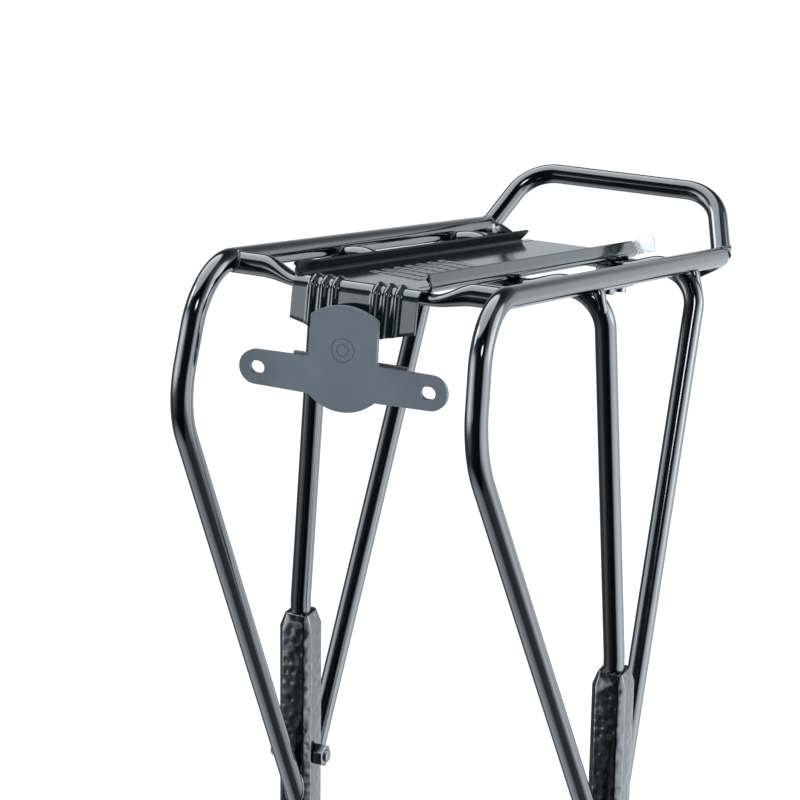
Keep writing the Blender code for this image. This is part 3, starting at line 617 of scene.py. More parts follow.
def turned(mesh, matrix):
    mesh.transform(matrix)
    return mesh


def cylinder_mesh(name, radius, start, end, sides=48):
    bm = bmesh.new()
    start, end = Vector(start), Vector(end)
    turn = (end - start).to_track_quat("Z", "Y").to_matrix().to_4x4()
    bmesh.ops.create_cone(
        bm,
        cap_ends=True,
        segments=sides,
        radius1=radius,
        radius2=radius,
        depth=(end - start).length,
        matrix=Matrix.Translation((start + end) / 2) @ turn,
    )
    return mesh_of(bm, name)


def box_mesh(name, low, high):
    bm = bmesh.new()
    bmesh.ops.create_cube(bm, size=1.0)
    low, high = Vector(low), Vector(high)
    bmesh.ops.scale(bm, vec=high - low, verts=bm.verts)
    bmesh.ops.translate(bm, vec=(low + high) / 2, verts=bm.verts)
    return mesh_of(bm, name)


def cut(mesh, cutter):
    """The mesh less the cutter."""
    obj = guide_object(mesh.name, mesh)
    tool = guide_object(cutter.name, cutter)
    boolean = obj.modifiers.new("cut", "BOOLEAN")
    boolean.object = tool
    boolean.operation = "DIFFERENCE"
    result = evaluated_mesh(obj)
    bpy.data.objects.remove(tool)
    return result


def piece(name, mesh, look, nodes=(), body="frame", sharp=35.0):
    """Puts a finished mesh in the scene, riding its body in place of its nodes."""
    mesh.name = name
    mesh.materials.clear()
    mesh.materials.append(finish(look))
    mesh.shade_smooth()
    mesh.set_sharp_from_angle(angle=math.radians(sharp))
    obj = bpy.data.objects.new(name, mesh)
    bpy.context.scene.collection.objects.link(obj)
    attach(obj, body)
    if nodes:
        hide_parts(*nodes)


def along_foot(side, height):
    """A point on a foot's line, this high up from the eyelet."""
    up = Vector((0.0, -math.sin(TILT), math.cos(TILT)))
    return Vector((side * FOOT_X, 0.0, 0.0)) + up * height


def foot_frame(side):
    return Matrix.Translation((side * FOOT_X, 0.0, 0.0)) @ Matrix.Rotation(TILT, 4, "X")


# The frame's tubes; a cross tube's path runs from left to right

def outward(path, side):
    """A cross tube's path, turned to end on the given side."""
    return path if side > 0 else path[::-1]


def side_tube_path(side):
    corners = [
        (side * STUB_X, RAIL_FRONT_Y, RAIL_Z - STUB_DROP),
        (side * RAIL_X, RAIL_FRONT_Y, RAIL_Z),
        (side * RAIL_X, RAIL_REAR_Y, RAIL_Z),
        (side * LEG_BEND_X, LEG_BEND_Y, RAIL_Z - LEG_BEND_DROP),
        along_foot(side, HOUSING_BOTTOM),
    ]
    return bent_path(corners, SIDE_TUBE_RADII)


def hoop_path():
    top_y, top_z = HOOP_BASE_Y + HOOP_LEAN, RAIL_Z + HOOP_RISE
    corners = [
        (-HOOP_BASE_X, HOOP_BASE_Y, RAIL_Z),
        (-HOOP_TOP_X, top_y, top_z),
        (HOOP_TOP_X, top_y, top_z),
        (HOOP_BASE_X, HOOP_BASE_Y, RAIL_Z),
    ]
    return bent_path(corners, [HOOP_RADIUS] * 2)


def with_flat_stops(path, y, z):
    """Adds points along the straight middle of a cross tube, where its flat begins and ends."""
    edges = [(FLAT_HALF_LENGTH + FLAT_RUN_OUT * i / 16) * MM for i in range(17)]
    stops = [-x for x in edges[::-1]] + [x * 3.0 * MM for x in range(-10, 11)] + edges
    split = next(i for i, point in enumerate(path) if point.x > 0)
    return path[:split] + [Vector((x, y, z)) for x in stops] + path[split:]


def arch_top(y):
    return [(-ARCH_CORNER_X, y, ARCH_Z), (ARCH_CORNER_X, y, ARCH_Z)]


def middle_arch_path():
    left = [along_foot(-1, height) for height in (ARCH_END_HEIGHT, ARCH_BEND_HEIGHT)]
    right = [Vector((-p.x, p.y, p.z)) for p in reversed(left)]
    radii = [LEG_RADIUS, ARCH_RADIUS, ARCH_RADIUS, LEG_RADIUS]
    path = bent_path([*left, *arch_top(MIDDLE_ARCH_Y), *right], radii)
    return with_flat_stops(path, MIDDLE_ARCH_Y, ARCH_Z)


def front_arch_path():
    left, right = (along_foot(side, HOUSING_BOTTOM) for _, side in SIDES)
    path = bent_path([left, *arch_top(FRONT_ARCH_Y), right], [ARCH_RADIUS] * 2)
    return with_flat_stops(path, FRONT_ARCH_Y, ARCH_Z)


def rear_tube_path():
    ends = [Vector((side * RAIL_X, REAR_TUBE_Y, REAR_TUBE_Z)) for _, side in SIDES]
    return with_flat_stops(ends, REAR_TUBE_Y, REAR_TUBE_Z)


def press_flat(mesh, centre_y, centre_z):
    """Presses the middle of a cross tube flat under the deck plate."""
    flat_z = FLAT_TOP_Z - FLAT_HEIGHT / 2
    wide = FLAT_WIDTH / 2 / TUBE_RADIUS
    high = FLAT_HEIGHT / 2 / TUBE_RADIUS
    for vertex in mesh.vertices:
        x, y, z = vertex.co
        if z < centre_z - 2 * TUBE_RADIUS:
            continue
        pressed = 1.0 - smooth((abs(x) - FLAT_HALF_LENGTH * MM) / (FLAT_RUN_OUT * MM))
        y = centre_y + (y - centre_y) * (1.0 + (wide - 1.0) * pressed)
        offset = (z - centre_z) * (1.0 + (high - 1.0) * pressed)
        vertex.co = (x, y, offset + centre_z + (flat_z - centre_z) * pressed)
    return mesh


# Weld beads

def near_rail(side):
    """True for points inside the deck rail of one side."""
    return lambda p: math.hypot(p.x - side * RAIL_X, p.z - RAIL_Z) < TUBE_RADIUS


def in_housing(side):
    """True for points inside the foot housing of one side."""
    inverse = foot_frame(side).inverted()
    half_width, half_depth = HOUSING_WIDTH / 2, HOUSING_DEPTH / 2

    def inside(p):
        q = inverse @ p
        return abs(q.x) < half_width and abs(q.y) < half_depth and q.z < HOUSING_TOP - 2.5 * MM

    return inside


def weld_line(path, inside, spokes=40, step=0.4 * MM):
    """Where the surface of a tube along a path first enters a solid: a point for each spoke."""
    line = []
    points = []
    for a, b in zip(path, path[1:]):
        count = max(int((b - a).length / step), 1)
        points += [a.lerp(b, k / count) for k in range(count)]
    points.append(path[-1])
    directions = [(b - a).normalized() for a, b in zip(points, points[1:])]
    directions.append(directions[-1])
    for i in range(spokes):
        spoke = directions[0].orthogonal().normalized()
        spoke.rotate(Matrix.Rotation(2 * math.pi * i / spokes, 3, directions[0]))
        for place, direction in zip(points, directions):
            spoke = (spoke - direction * spoke.dot(direction)).normalized()
            if inside(place + spoke * TUBE_RADIUS):
                line.append(place + spoke * (TUBE_RADIUS - WELD_INSET))
                break
        else:
            line.append(None)
    return line


def weld_runs(line):
    """Splits a weld line with gaps into its runs; a line with none closes on itself."""
    if None not in line:
        return [line + line[:1]]
    start = line.index(None)
    line = line[start:] + line[:start]
    runs = [[]]
    for point in line:
        if point is None:
            runs.append([])
        else:
            runs[-1].append(point)
    return [run for run in runs if len(run) > 3]


def all_welds():
    """Every weld of the frame, as lines of points."""
    rear, hoop, middle, front = rear_tube_path(), hoop_path(), middle_arch_path(), front_arch_path()
    runs = []

    def weld(path, inside):
        runs.extend(weld_runs(weld_line(path, inside)))

    def outer_part(path, side, from_x, low=0.0, high=1.0):
        return [p for p in outward(path, side) if p.x * side > from_x and low < p.z < high]

    for _, side in SIDES:
        rail, housing = near_rail(side), in_housing(side)
        for tube in (rear, hoop):
            weld(outer_part(tube, side, 30.0 * MM), rail)
        for arch in (middle, front):
            bend = outer_part(arch, side, 48.0 * MM, low=RAIL_Z - 14.0 * MM)
            weld(bend, rail)
            weld(bend[::-1], rail)
        weld(side_tube_path(side)[-2:], housing)
        weld(outward(front, side)[-2:], housing)
        weld(outer_part(middle, side, 0.0, high=300.0 * MM), housing)
    return runs


def gn_tree(name, inputs):
    """A tree with geometry in and out and further inputs, and its first and last nodes."""
    tree = bpy.data.node_groups.new(name, "GeometryNodeTree")
    for in_out in ("INPUT", "OUTPUT"):
        tree.interface.new_socket("Geometry", in_out=in_out, socket_type="NodeSocketGeometry")
    for label, kind in inputs:
        tree.interface.new_socket(label, in_out="INPUT", socket_type=f"NodeSocket{kind}")
    return tree, tree.nodes.new("NodeGroupInput").outputs, tree.nodes.new("NodeGroupOutput")


def copies_on_points(tree, given, end, points, shape, axis, scale=None):
    """Ends a tree with copies of a shape, its Z along an axis, made real and painted."""
    turn = add_node(tree, "FunctionNodeAlignRotationToVector", {"Vector": axis}, axis="Z")
    inputs = {"Points": points, "Instance": shape, "Rotation": turn.outputs["Rotation"]}
    if scale:
        inputs["Scale"] = scale
    copies = add_node(tree, "GeometryNodeInstanceOnPoints", inputs).outputs["Instances"]
    real = add_node(tree, "GeometryNodeRealizeInstances", {"Geometry": copies}).outputs["Geometry"]
    inputs = {"Geometry": real, "Material": given["Finish"]}
    painted = add_node(tree, "GeometryNodeSetMaterial", inputs)
    tree.links.new(painted.outputs["Geometry"], end.inputs["Geometry"])


def gn_result(obj, tree, values):
    """The plain mesh that a node tree makes on an object; the object goes."""
    modifier = obj.modifiers.new(tree.name, "NODES")
    modifier.node_group = tree
    for item in tree.interface.items_tree:
        if item.in_out == "INPUT" and item.name in values:
            modifier[item.identifier] = values[item.name]
    return evaluated_mesh(obj)


def bead_tree():
    """Geometry nodes that lay overlapping ripples of weld along every edge line."""
    tree, given, end = gn_tree(
        "weld bead",
        (("Radius", "Float"), ("Pitch", "Float"), ("Seed", "Int"), ("Finish", "Material")),
    )
    curve = add_node(tree, "GeometryNodeMeshToCurve", {"Mesh": given["Geometry"]}).outputs["Curve"]
    inputs = {"Curve": curve, "Length": given["Pitch"]}
    spaced = add_node(tree, "GeometryNodeResampleCurve", inputs, mode="LENGTH").outputs["Curve"]
    inputs = {"Segments": 12, "Rings": 8, "Radius": given["Radius"]}
    ripple = add_node(tree, "GeometryNodeMeshUVSphere", inputs).outputs["Mesh"]
    tangent = add_node(tree, "GeometryNodeInputTangent").outputs["Tangent"]
    inputs = {"Min": (0.9, 0.9, 0.75), "Max": (1.08, 1.08, 0.95), "Seed": given["Seed"]}
    uneven = add_node(tree, "FunctionNodeRandomValue", inputs, data_type="FLOAT_VECTOR")
    copies_on_points(tree, given, end, spaced, ripple, tangent, uneven.outputs["Value"])
    return tree


def line_mesh(name, runs):
    bm = bmesh.new()
    for run in runs:
        corners = [bm.verts.new(point) for point in run]
        for a, b in zip(corners, corners[1:]):
            bm.edges.new((a, b))
    mesh = bpy.data.meshes.new(name)
    bm.to_mesh(mesh)
    bm.free()
    return mesh


# Fastenings

def screw_tree():
    """Geometry nodes that set a socket-head screw on every point, head along its axis."""
    sizes = [(name, "Float") for name in SCREW_SIZES]
    tree, given, end = gn_tree("socket screw", [*sizes, ("Finish", "Material")])

    def scaled(value, factor):
        inputs = {0: value, 1: factor}
        return add_node(tree, "ShaderNodeMath", inputs, operation="MULTIPLY").outputs["Value"]

    def cylinder(radius, height, sides, lift):
        """A cylinder whose middle is lifted by a share of its height."""
        inputs = {"Vertices": sides, "Radius": radius, "Depth": height}
        made = add_node(tree, "GeometryNodeMeshCylinder", inputs).outputs["Mesh"]
        place = add_node(tree, "ShaderNodeCombineXYZ", {"Z": scaled(height, lift)})
        inputs = {"Geometry": made, "Translation": place.outputs["Vector"]}
        return add_node(tree, "GeometryNodeTransform", inputs).outputs["Geometry"]

    shank = cylinder(given["Shank"], given["Length"], 32, -0.5)
    head = cylinder(given["Head"], given["Head Height"], 48, 0.5)
    socket = cylinder(scaled(given["Head"], 0.52), given["Head Height"], 6, 0.9)
    inputs = {"Mesh 1": head, "Mesh 2": socket}
    hollow = add_node(tree, "GeometryNodeMeshBoolean", inputs, operation="DIFFERENCE")
    whole = add_node(tree, "GeometryNodeJoinGeometry", {"Geometry": hollow.outputs["Mesh"]})
    tree.links.new(shank, whole.inputs["Geometry"])
    kind = "GeometryNodeInputNamedAttribute"
    axis = add_node(tree, kind, {"Name": "axis"}, data_type="FLOAT_VECTOR").outputs["Attribute"]
    copies_on_points(tree, given, end, given["Geometry"], whole.outputs["Geometry"], axis)
    return tree


def screws(name, seats, sizes):
    """Screws at (place under the head, direction of the head) seats, sizes in mm."""
    mesh = bpy.data.meshes.new(name)
    mesh.from_pydata([seat for seat, _ in seats], [], [])
    axes = mesh.attributes.new("axis", "FLOAT_VECTOR", "POINT")
    for value, (_, axis) in zip(axes.data, seats):
        value.vector = axis
    tree = bpy.data.node_groups.get("socket screw") or screw_tree()
    values = dict(zip(SCREW_SIZES, (size * MM for size in sizes)), Finish=finish("zinc"))
    return rounded_edges(gn_result(guide_object(name, mesh), tree, values), 0.25 * MM, 2)


# Operators

class CARRIER_OT_tubes(Operator):
    """Makes the frame's tubes."""

    bl_idname = "carrier.tubes"
    bl_label = "Frame tubes"

    def execute(self, context):
        for name, side in SIDES:
            mesh = tube_mesh("side tube", side_tube_path(side))
            piece(f"rail_and_leg_{name}", mesh, "frame paint", [f"side_tube_{name}"])
        piece("hoop", tube_mesh("hoop", hoop_path()), "frame paint", ["front_hoop"])
        mesh = press_flat(tube_mesh("rear tube", rear_tube_path()), REAR_TUBE_Y, REAR_TUBE_Z)
        piece("rear_cross_bar", mesh, "frame paint", ["rear_cross_tube"])
        for name, y, path in (
            ("middle", MIDDLE_ARCH_Y, middle_arch_path()),
            ("front", FRONT_ARCH_Y, front_arch_path()),
        ):
            mesh = press_flat(tube_mesh("arch", path), y, ARCH_Z)
            piece(f"{name}_arch_tube", mesh, "frame paint", [f"{name}_arch"])
        return {"FINISHED"}


class CARRIER_OT_gussets(Operator):
    """Makes the webs between the rails and the bends of the legs."""

    bl_idname = "carrier.gussets"
    bl_label = "Gussets"

    def execute(self, context):
        for arch, y in (("middle", MIDDLE_ARCH_Y), ("front", FRONT_ARCH_Y)):
            place = Matrix.Translation((0.0, y, 0.0)) @ UPRIGHT
            for name, side in SIDES:
                corners = [(side * x * MM, RAIL_Z - drop * MM, r * MM) for x, drop, r in GUSSET]
                mesh = turned(outline_mesh("gusset", [rounded(corners)], 6.0 * MM), place)
                mesh = rounded_edges(mesh, 2.4 * MM, 6)
                piece(f"{arch}_web_{name}", mesh, "frame paint", [f"{arch}_gusset_{name}"])
        return {"FINISHED"}


class CARRIER_OT_welds(Operator):
    """Lays the weld beads."""

    bl_idname = "carrier.welds"
    bl_label = "Weld beads"

    def execute(self, context):
        tubes = context.scene.carrier_tubes
        lines = guide_object("weld lines", line_mesh("weld lines", all_welds()))
        values = {"Radius": tubes.bead, "Pitch": tubes.bead_pitch, "Seed": 3}
        values["Finish"] = finish("frame paint")
        piece("weld_beads", gn_result(lines, bead_tree(), values), "frame paint", sharp=80.0)
        return {"FINISHED"}


def apron_drop(x):
    """How far the apron's lower edge hangs below the plate's top, deeper in the middle."""
    share = (abs(x) - APRON_MIDDLE) / (PLATE_HALF_WIDTH - APRON_MIDDLE)
    return (APRON_DROP - APRON_RISE * min(max(share, 0.0), 1.0)) * MM


def rib_shape(deck, x):
    """Height of the ribs across the plate, from 0 to 1."""
    height = 0.0
    for i in range(RIBS_A_SIDE):
        offset = abs(abs(x) - deck.rib_first - i * deck.rib_pitch) / RIB_HALF_WIDTH
        if offset < 1.0:
            height = max(height, 0.5 + 0.5 * math.cos(math.pi * offset))
    return height


def grip_bar(x, y):
    """Height of the slanted grip bars pressed into the deck, from 0 to 1."""
    along = (y + GRIP_SLANT * x - GRIP_REAR_Y) / GRIP_PITCH
    if not 0.0 <= along < GRIP_BARS or abs(x) > GRIP_HALF_LENGTH:
        return 0.0
    share = abs(along % 1.0 - 0.5) * 2.0
    return smooth((0.62 - share) / 0.22) * smooth((GRIP_HALF_LENGTH - abs(x)) / (2.0 * MM))


def deck_rows(deck):
    """Rows of the plate from the apron's lower edge on: y, z, how far up the apron, which way
    is out, and how far the ribs rise. The apron's own rows have no z, as it varies with x."""
    top, radius = PLATE_TOP_Z, deck.bend_radius
    rows = [(PLATE_REAR_Y, None, i / 8, Vector((0.0, -1.0, 0.0)), 1.0) for i in range(9)]
    for i in range(1, 17):
        angle = math.radians(180.0 - 90.0 * i / 16)
        out = Vector((0.0, math.cos(angle), math.sin(angle)))
        y = PLATE_REAR_Y + radius + radius * out.y
        rows.append((y, top - radius + radius * out.z, 1.0, out, 1.0))
    start = PLATE_REAR_Y + radius
    for i in range(1, 15):
        rows.append((start + i * 0.5 * MM, top, 1.0, UP, smooth(1.0 - i / 13)))
    y = start + COARSE_ROW
    while y < PLATE_FRONT_Y - 1.0 * MM:
        rows.append((y, top, 1.0, UP, 0.0))
        y += FINE_ROW if GRIP_ROWS[0] < y < GRIP_ROWS[1] else COARSE_ROW
    return rows + [(PLATE_FRONT_Y, top, 1.0, UP, 0.0)]


def deck_mesh(deck):
    """The pressed sheet: apron, bend, ribs, grip bars and side grooves."""
    half = deck.half_width
    columns = [-half + 2 * half * i / DECK_COLUMNS for i in range(DECK_COLUMNS + 1)]
    rows = []
    for y, z, share, out, ribbed in deck_rows(deck):
        row = []
        for x in columns:
            low = PLATE_TOP_Z - apron_drop(x)
            height = z if z is not None else low + (PLATE_TOP_Z - deck.bend_radius - low) * share
            raised = deck.rib_height * rib_shape(deck, x) * ribbed
            if out.z > 0.99 and ribbed == 0.0:
                raised += GRIP_HEIGHT * grip_bar(x, y)
                raised -= GROOVE_DEPTH * smooth(1.0 - abs(abs(x) - GROOVE_X) / GROOVE_HALF_WIDTH)
            row.append(Vector((x, y, height)) + out * raised)
        rows.append(row)
    return pressed_sheet("deck", rows, UP, 60.0)


def flange_mesh(deck, side):
    """A side of the plate turned up: a folded strip with rounded ends."""
    half, fold = deck.half_width, 1.9 * MM
    base = PLATE_TOP_Z - 0.8 * MM
    profile = [(half - 2.4 * MM, base)]
    for angle in (math.radians(15.0 * i) for i in range(1, 7)):
        profile.append((half - fold + fold * math.sin(angle), base + fold * (1 - math.cos(angle))))
    x, z = profile[-1]
    top_x, top_z = half - FLANGE_LEAN + 0.2 * MM, PLATE_HIGH.z - 0.1 * MM
    profile += [(x + (top_x - x) * i / 6, z + (top_z - z) * i / 6) for i in range(1, 7)]
    rear, front = FLANGE_ENDS[side]
    stops = [0.0, 0.3, 0.7, 1.2, 1.9, 2.8, 4.0]
    ends = [rear + s * MM for s in (*stops, 6.0, 8.0, 10.0, 12.0, 14.0, 16.0)]
    ends += [front - s * MM for s in reversed(stops)]
    rows = []
    for x, z in profile:
        high = (z - base) / (top_z - base)
        row = []
        for y in ends:
            near = min(y - rear, front - y) if side > 0 else y - rear
            limit = base + (top_z - base) * (1.0 - 0.35 * smooth(1.0 - near / (3.0 * MM)) ** 2)
            shown = min(z, limit)
            shift = (z - shown) * 0.45
            if side < 0:
                shift += 3.2 * MM * high * smooth(1.0 - (y - rear) / (16.0 * MM))
            if side < 0 and y > front - 4.5 * MM:
                y -= 4.0 * MM * (1.0 - high) * (y - front + 4.5 * MM) / (4.5 * MM)
            row.append((side * (x + shift), y, shown))
        rows.append(row)
    return pressed_sheet("flange", rows, Vector((side, 0.0, 0.0)), 50.0)


class CARRIER_OT_deck(Operator):
    """Makes the deck plate with its apron and flanges."""

    bl_idname = "carrier.deck"
    bl_label = "Deck plate"

    def execute(self, context):
        deck = context.scene.carrier_deck
        mesh = joined("deck plate", [deck_mesh(deck), flange_mesh(deck, 1)])
        piece("deck_plate", mesh, "deck paint", ["top_plate"])
        # The left flange is painted darker and duller than the right: painted shade on its inner
        # face
        piece("deck_flange_left", flange_mesh(deck, -1), "shaded flange paint", ["top_plate"])
        return {"FINISHED"}


class CARRIER_OT_end_piece(Operator):
    """Makes the clear end piece ahead of the right flange."""

    bl_idname = "carrier.end_piece"
    bl_label = "Clear end piece"

    def execute(self, context):
        low, high = STOP_LOW, STOP_HIGH
        length = high.y - low.y
        rise = high.z - low.z
        corners = [
            (0.0, 0.0, 0.5 * MM),
            (length - 2.5 * MM, 0.0, 2.0 * MM),
            (length - 0.2 * MM, 4.0 * MM, 3.0 * MM),
            (length - 0.2 * MM, rise - 0.3 * MM, 2.2 * MM),
            (length * 0.4, rise - 1.6 * MM, 8.0 * MM),
            (0.0, 6.0 * MM, 1.0 * MM),
        ]
        mesh = rounded_edges(outline_mesh("end", [rounded(corners)], 2.0 * MM), 0.6 * MM, 4)
        lean = Matrix.Rotation(-math.atan2(FLANGE_LEAN, FLANGE_HEIGHT), 4, "Y")
        place = Matrix.Translation((29.0 * MM, low.y, low.z + 0.6 * MM))
        mesh = turned(mesh, place @ lean @ LENGTHWISE)
        piece("clear_end_piece", mesh, "clear plastic", ["flange_end_stop"])
        return {"FINISHED"}


def bracket_rim():
    """The bracket's outline about its bar's middle."""
    def sharp(points):
        return [(x, y, 0.0) for x, y in points]

    body, root, shoulder = BRACKET_HALF_WIDTH, BRACKET_ROOT, BRACKET_SHOULDER
    corners = [(-body, root, 2.2 * MM), (-body, shoulder, 1.0 * MM)]
    corners += sharp(crown(body, 5.0 * MM, shoulder, 1.0))
    corners += [(body, shoulder, 1.0 * MM), (body, root, 2.2 * MM)]
    corners += sharp(arc((BAR_END_X, 0.0), BAR_HALF_HEIGHT, 90.0, -90.0, 24))
    corners += [(body, -root, 1.5 * MM)]
    corners += sharp(crown(-body, 6.2 * MM, -root, -1.0))
    corners += [(-body, -root, 1.5 * MM)]
    corners += sharp(arc((-BAR_END_X, 0.0), BAR_HALF_HEIGHT, 270.0, 90.0, 24))
    return rounded(corners)


def crown(half_width, rise, base, direction, steps=28):
    """Inner points of a shallow arc from -half_width to +half_width."""
    wide = abs(half_width)
    radius = (wide**2 + rise**2) / (2 * rise)
    half_angle = math.asin(wide / radius)
    sign = math.copysign(1.0, half_width)
    points = []
    for i in range(2, steps - 1):
        angle = half_angle * (2 * i / steps - 1)
        height = radius * math.cos(angle) - (radius - rise)
        points.append((sign * radius * math.sin(angle), base + direction * height))
    return points


class CARRIER_OT_bracket(Operator):
    """Makes the lamp bracket, its backing bar and its bolts."""

    bl_idname = "carrier.bracket"
    bl_label = "Lamp bracket"

    def execute(self, context):
        bracket = context.scene.carrier_bracket
        slots = []
        for _, side in SIDES:
            reach, radius = 0.6 * MM, 2.9 * MM
            slot = arc((side * SLOT_X + reach, 0.0), radius, -90.0, 90.0, 14)
            slots.append(slot + arc((side * SLOT_X - reach, 0.0), radius, 90.0, 270.0, 14))
        mesh = outline_mesh("bracket", [bracket_rim(), *slots], bracket.thickness)
        for radius in (5.2 * MM, 2.6 * MM):
            mesh = cut(mesh, ring_mesh(radius, (0.0, 13.0 * MM, bracket.thickness / 2)))
        mesh = rounded_edges(mesh, bracket.edge, 3, 50.0)
        tilt = Matrix.Rotation(BRACKET_TILT, 4, "X")
        middle = Matrix.Translation((0.0, BRACKET_Y, BRACKET_Z)) @ tilt
        standing = Matrix.Translation((0.0, bracket.thickness / 2, 0.0)) @ UPRIGHT
        meshes = [turned(mesh, middle @ standing)]
        seats = []
        for name, _ in SIDES:
            low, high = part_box(f"bracket_bolt_{name}")
            x, _, z = box_middle(f"bracket_bolt_{name}")
            ends = (x, BOSS_REAR_Y, z), (x, BOSS_FRONT_Y, z)
            meshes.append(cylinder_mesh("boss", 4.0 * MM, *ends))
            seats.append(((x, high.y - BRACKET_HEAD * MM, z), (0.0, 1.0, 0.0)))
        piece("bracket", joined("bracket", meshes), "bracket coat", ["lamp_bracket"])
        bar = box_mesh(
            "backing", (-24.5 * MM, 2.8 * MM, 1.0 * MM), (29.0 * MM, 4.8 * MM, 9.0 * MM)
        )
        bar = turned(rounded_edges(bar, 0.6 * MM), middle)
        piece("backing_bar", bar, "black plastic", ["bracket_backing_bar"])
        length = (high.y - low.y) / MM - BRACKET_HEAD
        mesh = screws("bracket screws", seats, (2.0, length, 3.6, BRACKET_HEAD))
        piece("bracket_screws", mesh, "zinc", ["bracket_bolt_left", "bracket_bolt_right"])
        return {"FINISHED"}


def ring_mesh(radius, place):
    """A thin ring that engraves a circle."""
    bm = bmesh.new()
    bmesh.ops.create_circle(bm, segments=12, radius=0.35 * MM)
    bmesh.ops.rotate(bm, matrix=Matrix.Rotation(math.pi / 2, 3, "X"), verts=bm.verts)
    bmesh.ops.translate(bm, vec=(radius, 0.0, 0.0), verts=bm.verts)
    bmesh.ops.spin(
        bm,
        geom=bm.edges[:] + bm.verts[:],
        axis=(0.0, 0.0, 1.0),
        cent=(0.0, 0.0, 0.0),
        angle=2 * math.pi,
        steps=48,
        use_merge=True,
    )
    bmesh.ops.remove_doubles(bm, verts=bm.verts, dist=1e-6)
    bmesh.ops.translate(bm, vec=place, verts=bm.verts)
    return mesh_of(bm, "ring")


def housing_mesh(side):
    """A foot housing: chamfered, tapered at the top, open below for the foot."""
    bm = bmesh.new()
    bmesh.ops.create_cube(bm, size=1.0)
    height = HOUSING_TOP - HOUSING_TAPER - HOUSING_BOTTOM
    bmesh.ops.scale(bm, vec=(HOUSING_WIDTH, HOUSING_DEPTH, height), verts=bm.verts)
    bmesh.ops.translate(bm, vec=(0.0, 0.0, HOUSING_BOTTOM + height / 2), verts=bm.verts)
    upright = [e for e in bm.edges if abs(e.verts[0].co.z - e.verts[1].co.z) > height / 2]
    bmesh.ops.bevel(bm, geom=upright, offset=3.0 * MM, segments=1, affect="EDGES")
    top = max(bm.faces, key=lambda face: face.calc_center_median().z)
    bmesh.ops.inset_region(bm, faces=[top], thickness=2.4 * MM, use_even_offset=True)
    bmesh.ops.translate(bm, vec=(0.0, 0.0, HOUSING_TAPER), verts=top.verts)
    slot = box_mesh(
        "slot", (-2.8 * MM, -7.3 * MM, HOUSING_BOTTOM - 5 * MM), (2.8 * MM, 7.3 * MM, 134 * MM)
    )
    mesh = cut(mesh_of(bm, "housing"), slot)
    return turned(rounded_edges(mesh, 0.5 * MM, 3, 30.0), foot_frame(side))


def on_foot_bolt(side, radius, start, end, sides, edge, segments):
    """A disc along a foot's bolt, between two distances out from the foot's middle."""
    ends = ((x, 0.0, FOOT_BOLT_HEIGHT) for x in (start, end))
    mesh = cylinder_mesh("disc", radius, *ends, sides)
    return turned(rounded_edges(mesh, edge, segments), foot_frame(side))


class CARRIER_OT_housings(Operator):
    """Makes the foot housings with their washers, bolts and nuts."""

    bl_idname = "carrier.housings"
    bl_label = "Foot housings"

    def execute(self, context):
        face = HOUSING_FACE
        for name, side in SIDES:
            piece(f"housing_{name}", housing_mesh(side), "housing paint", [f"foot_housing_{name}"])
            ends = side * face, side * (face + 1.2 * MM)
            washer = on_foot_bolt(side, 6.0 * MM, *ends, 48, 0.25 * MM, 2)
            piece(f"washer_{name}", washer, "zinc", [f"foot_washer_{name}"])
            ends = -side * face, -side * (face + 5.0 * MM)
            nut = on_foot_bolt(side, 5.8 * MM, *ends, 6, 0.5 * MM, 3)
            piece(f"nut_{name}", nut, "zinc", [f"foot_nut_{name}"])
            seat = foot_frame(side) @ Vector((side * (face + 1.5 * MM), 0.0, FOOT_BOLT_HEIGHT))
            mesh = screws("foot screw", [(seat, (side, 0.0, 0.0))], (3.0, 25.6, 5.0, 4.0))
            piece(f"foot_screw_{name}", mesh, "zinc", [f"foot_bolt_{name}"])
        return {"FINISHED"}


class CARRIER_OT_feet(Operator):
    """Makes the sliding feet."""

    bl_idname = "carrier.feet"
    bl_label = "Feet"

    def execute(self, context):
        half = FOOT_HALF_WIDTH
        neck = math.degrees(math.acos(half / EYELET_RADIUS))
        for name, side in SIDES:
            rim = arc((0.0, 0.0), EYELET_RADIUS, neck, neck - (180.0 + 2 * neck), 48)
            rim += [(-half, FOOT_LENGTH), (half, FOOT_LENGTH)]
            bore = arc((0.0, 0.0), EYELET_BORE, 0.0, 350.0, 35)
            slot = slot_outline(0.0, FOOT_BOLT_HEIGHT, FOOT_BOLT_HEIGHT + FOOT_TRAVEL, 3.3 * MM, 18)
            mesh = outline_mesh("foot", [rim, bore, slot], FOOT_THICKNESS)
            mesh = turned(rounded_edges(mesh, 0.5 * MM), foot_frame(side) @ LENGTHWISE)
            piece(f"foot_bar_{name}", mesh, "foot alloy", [f"foot_{name}"], f"{name}_foot")
        return {"FINISHED"}


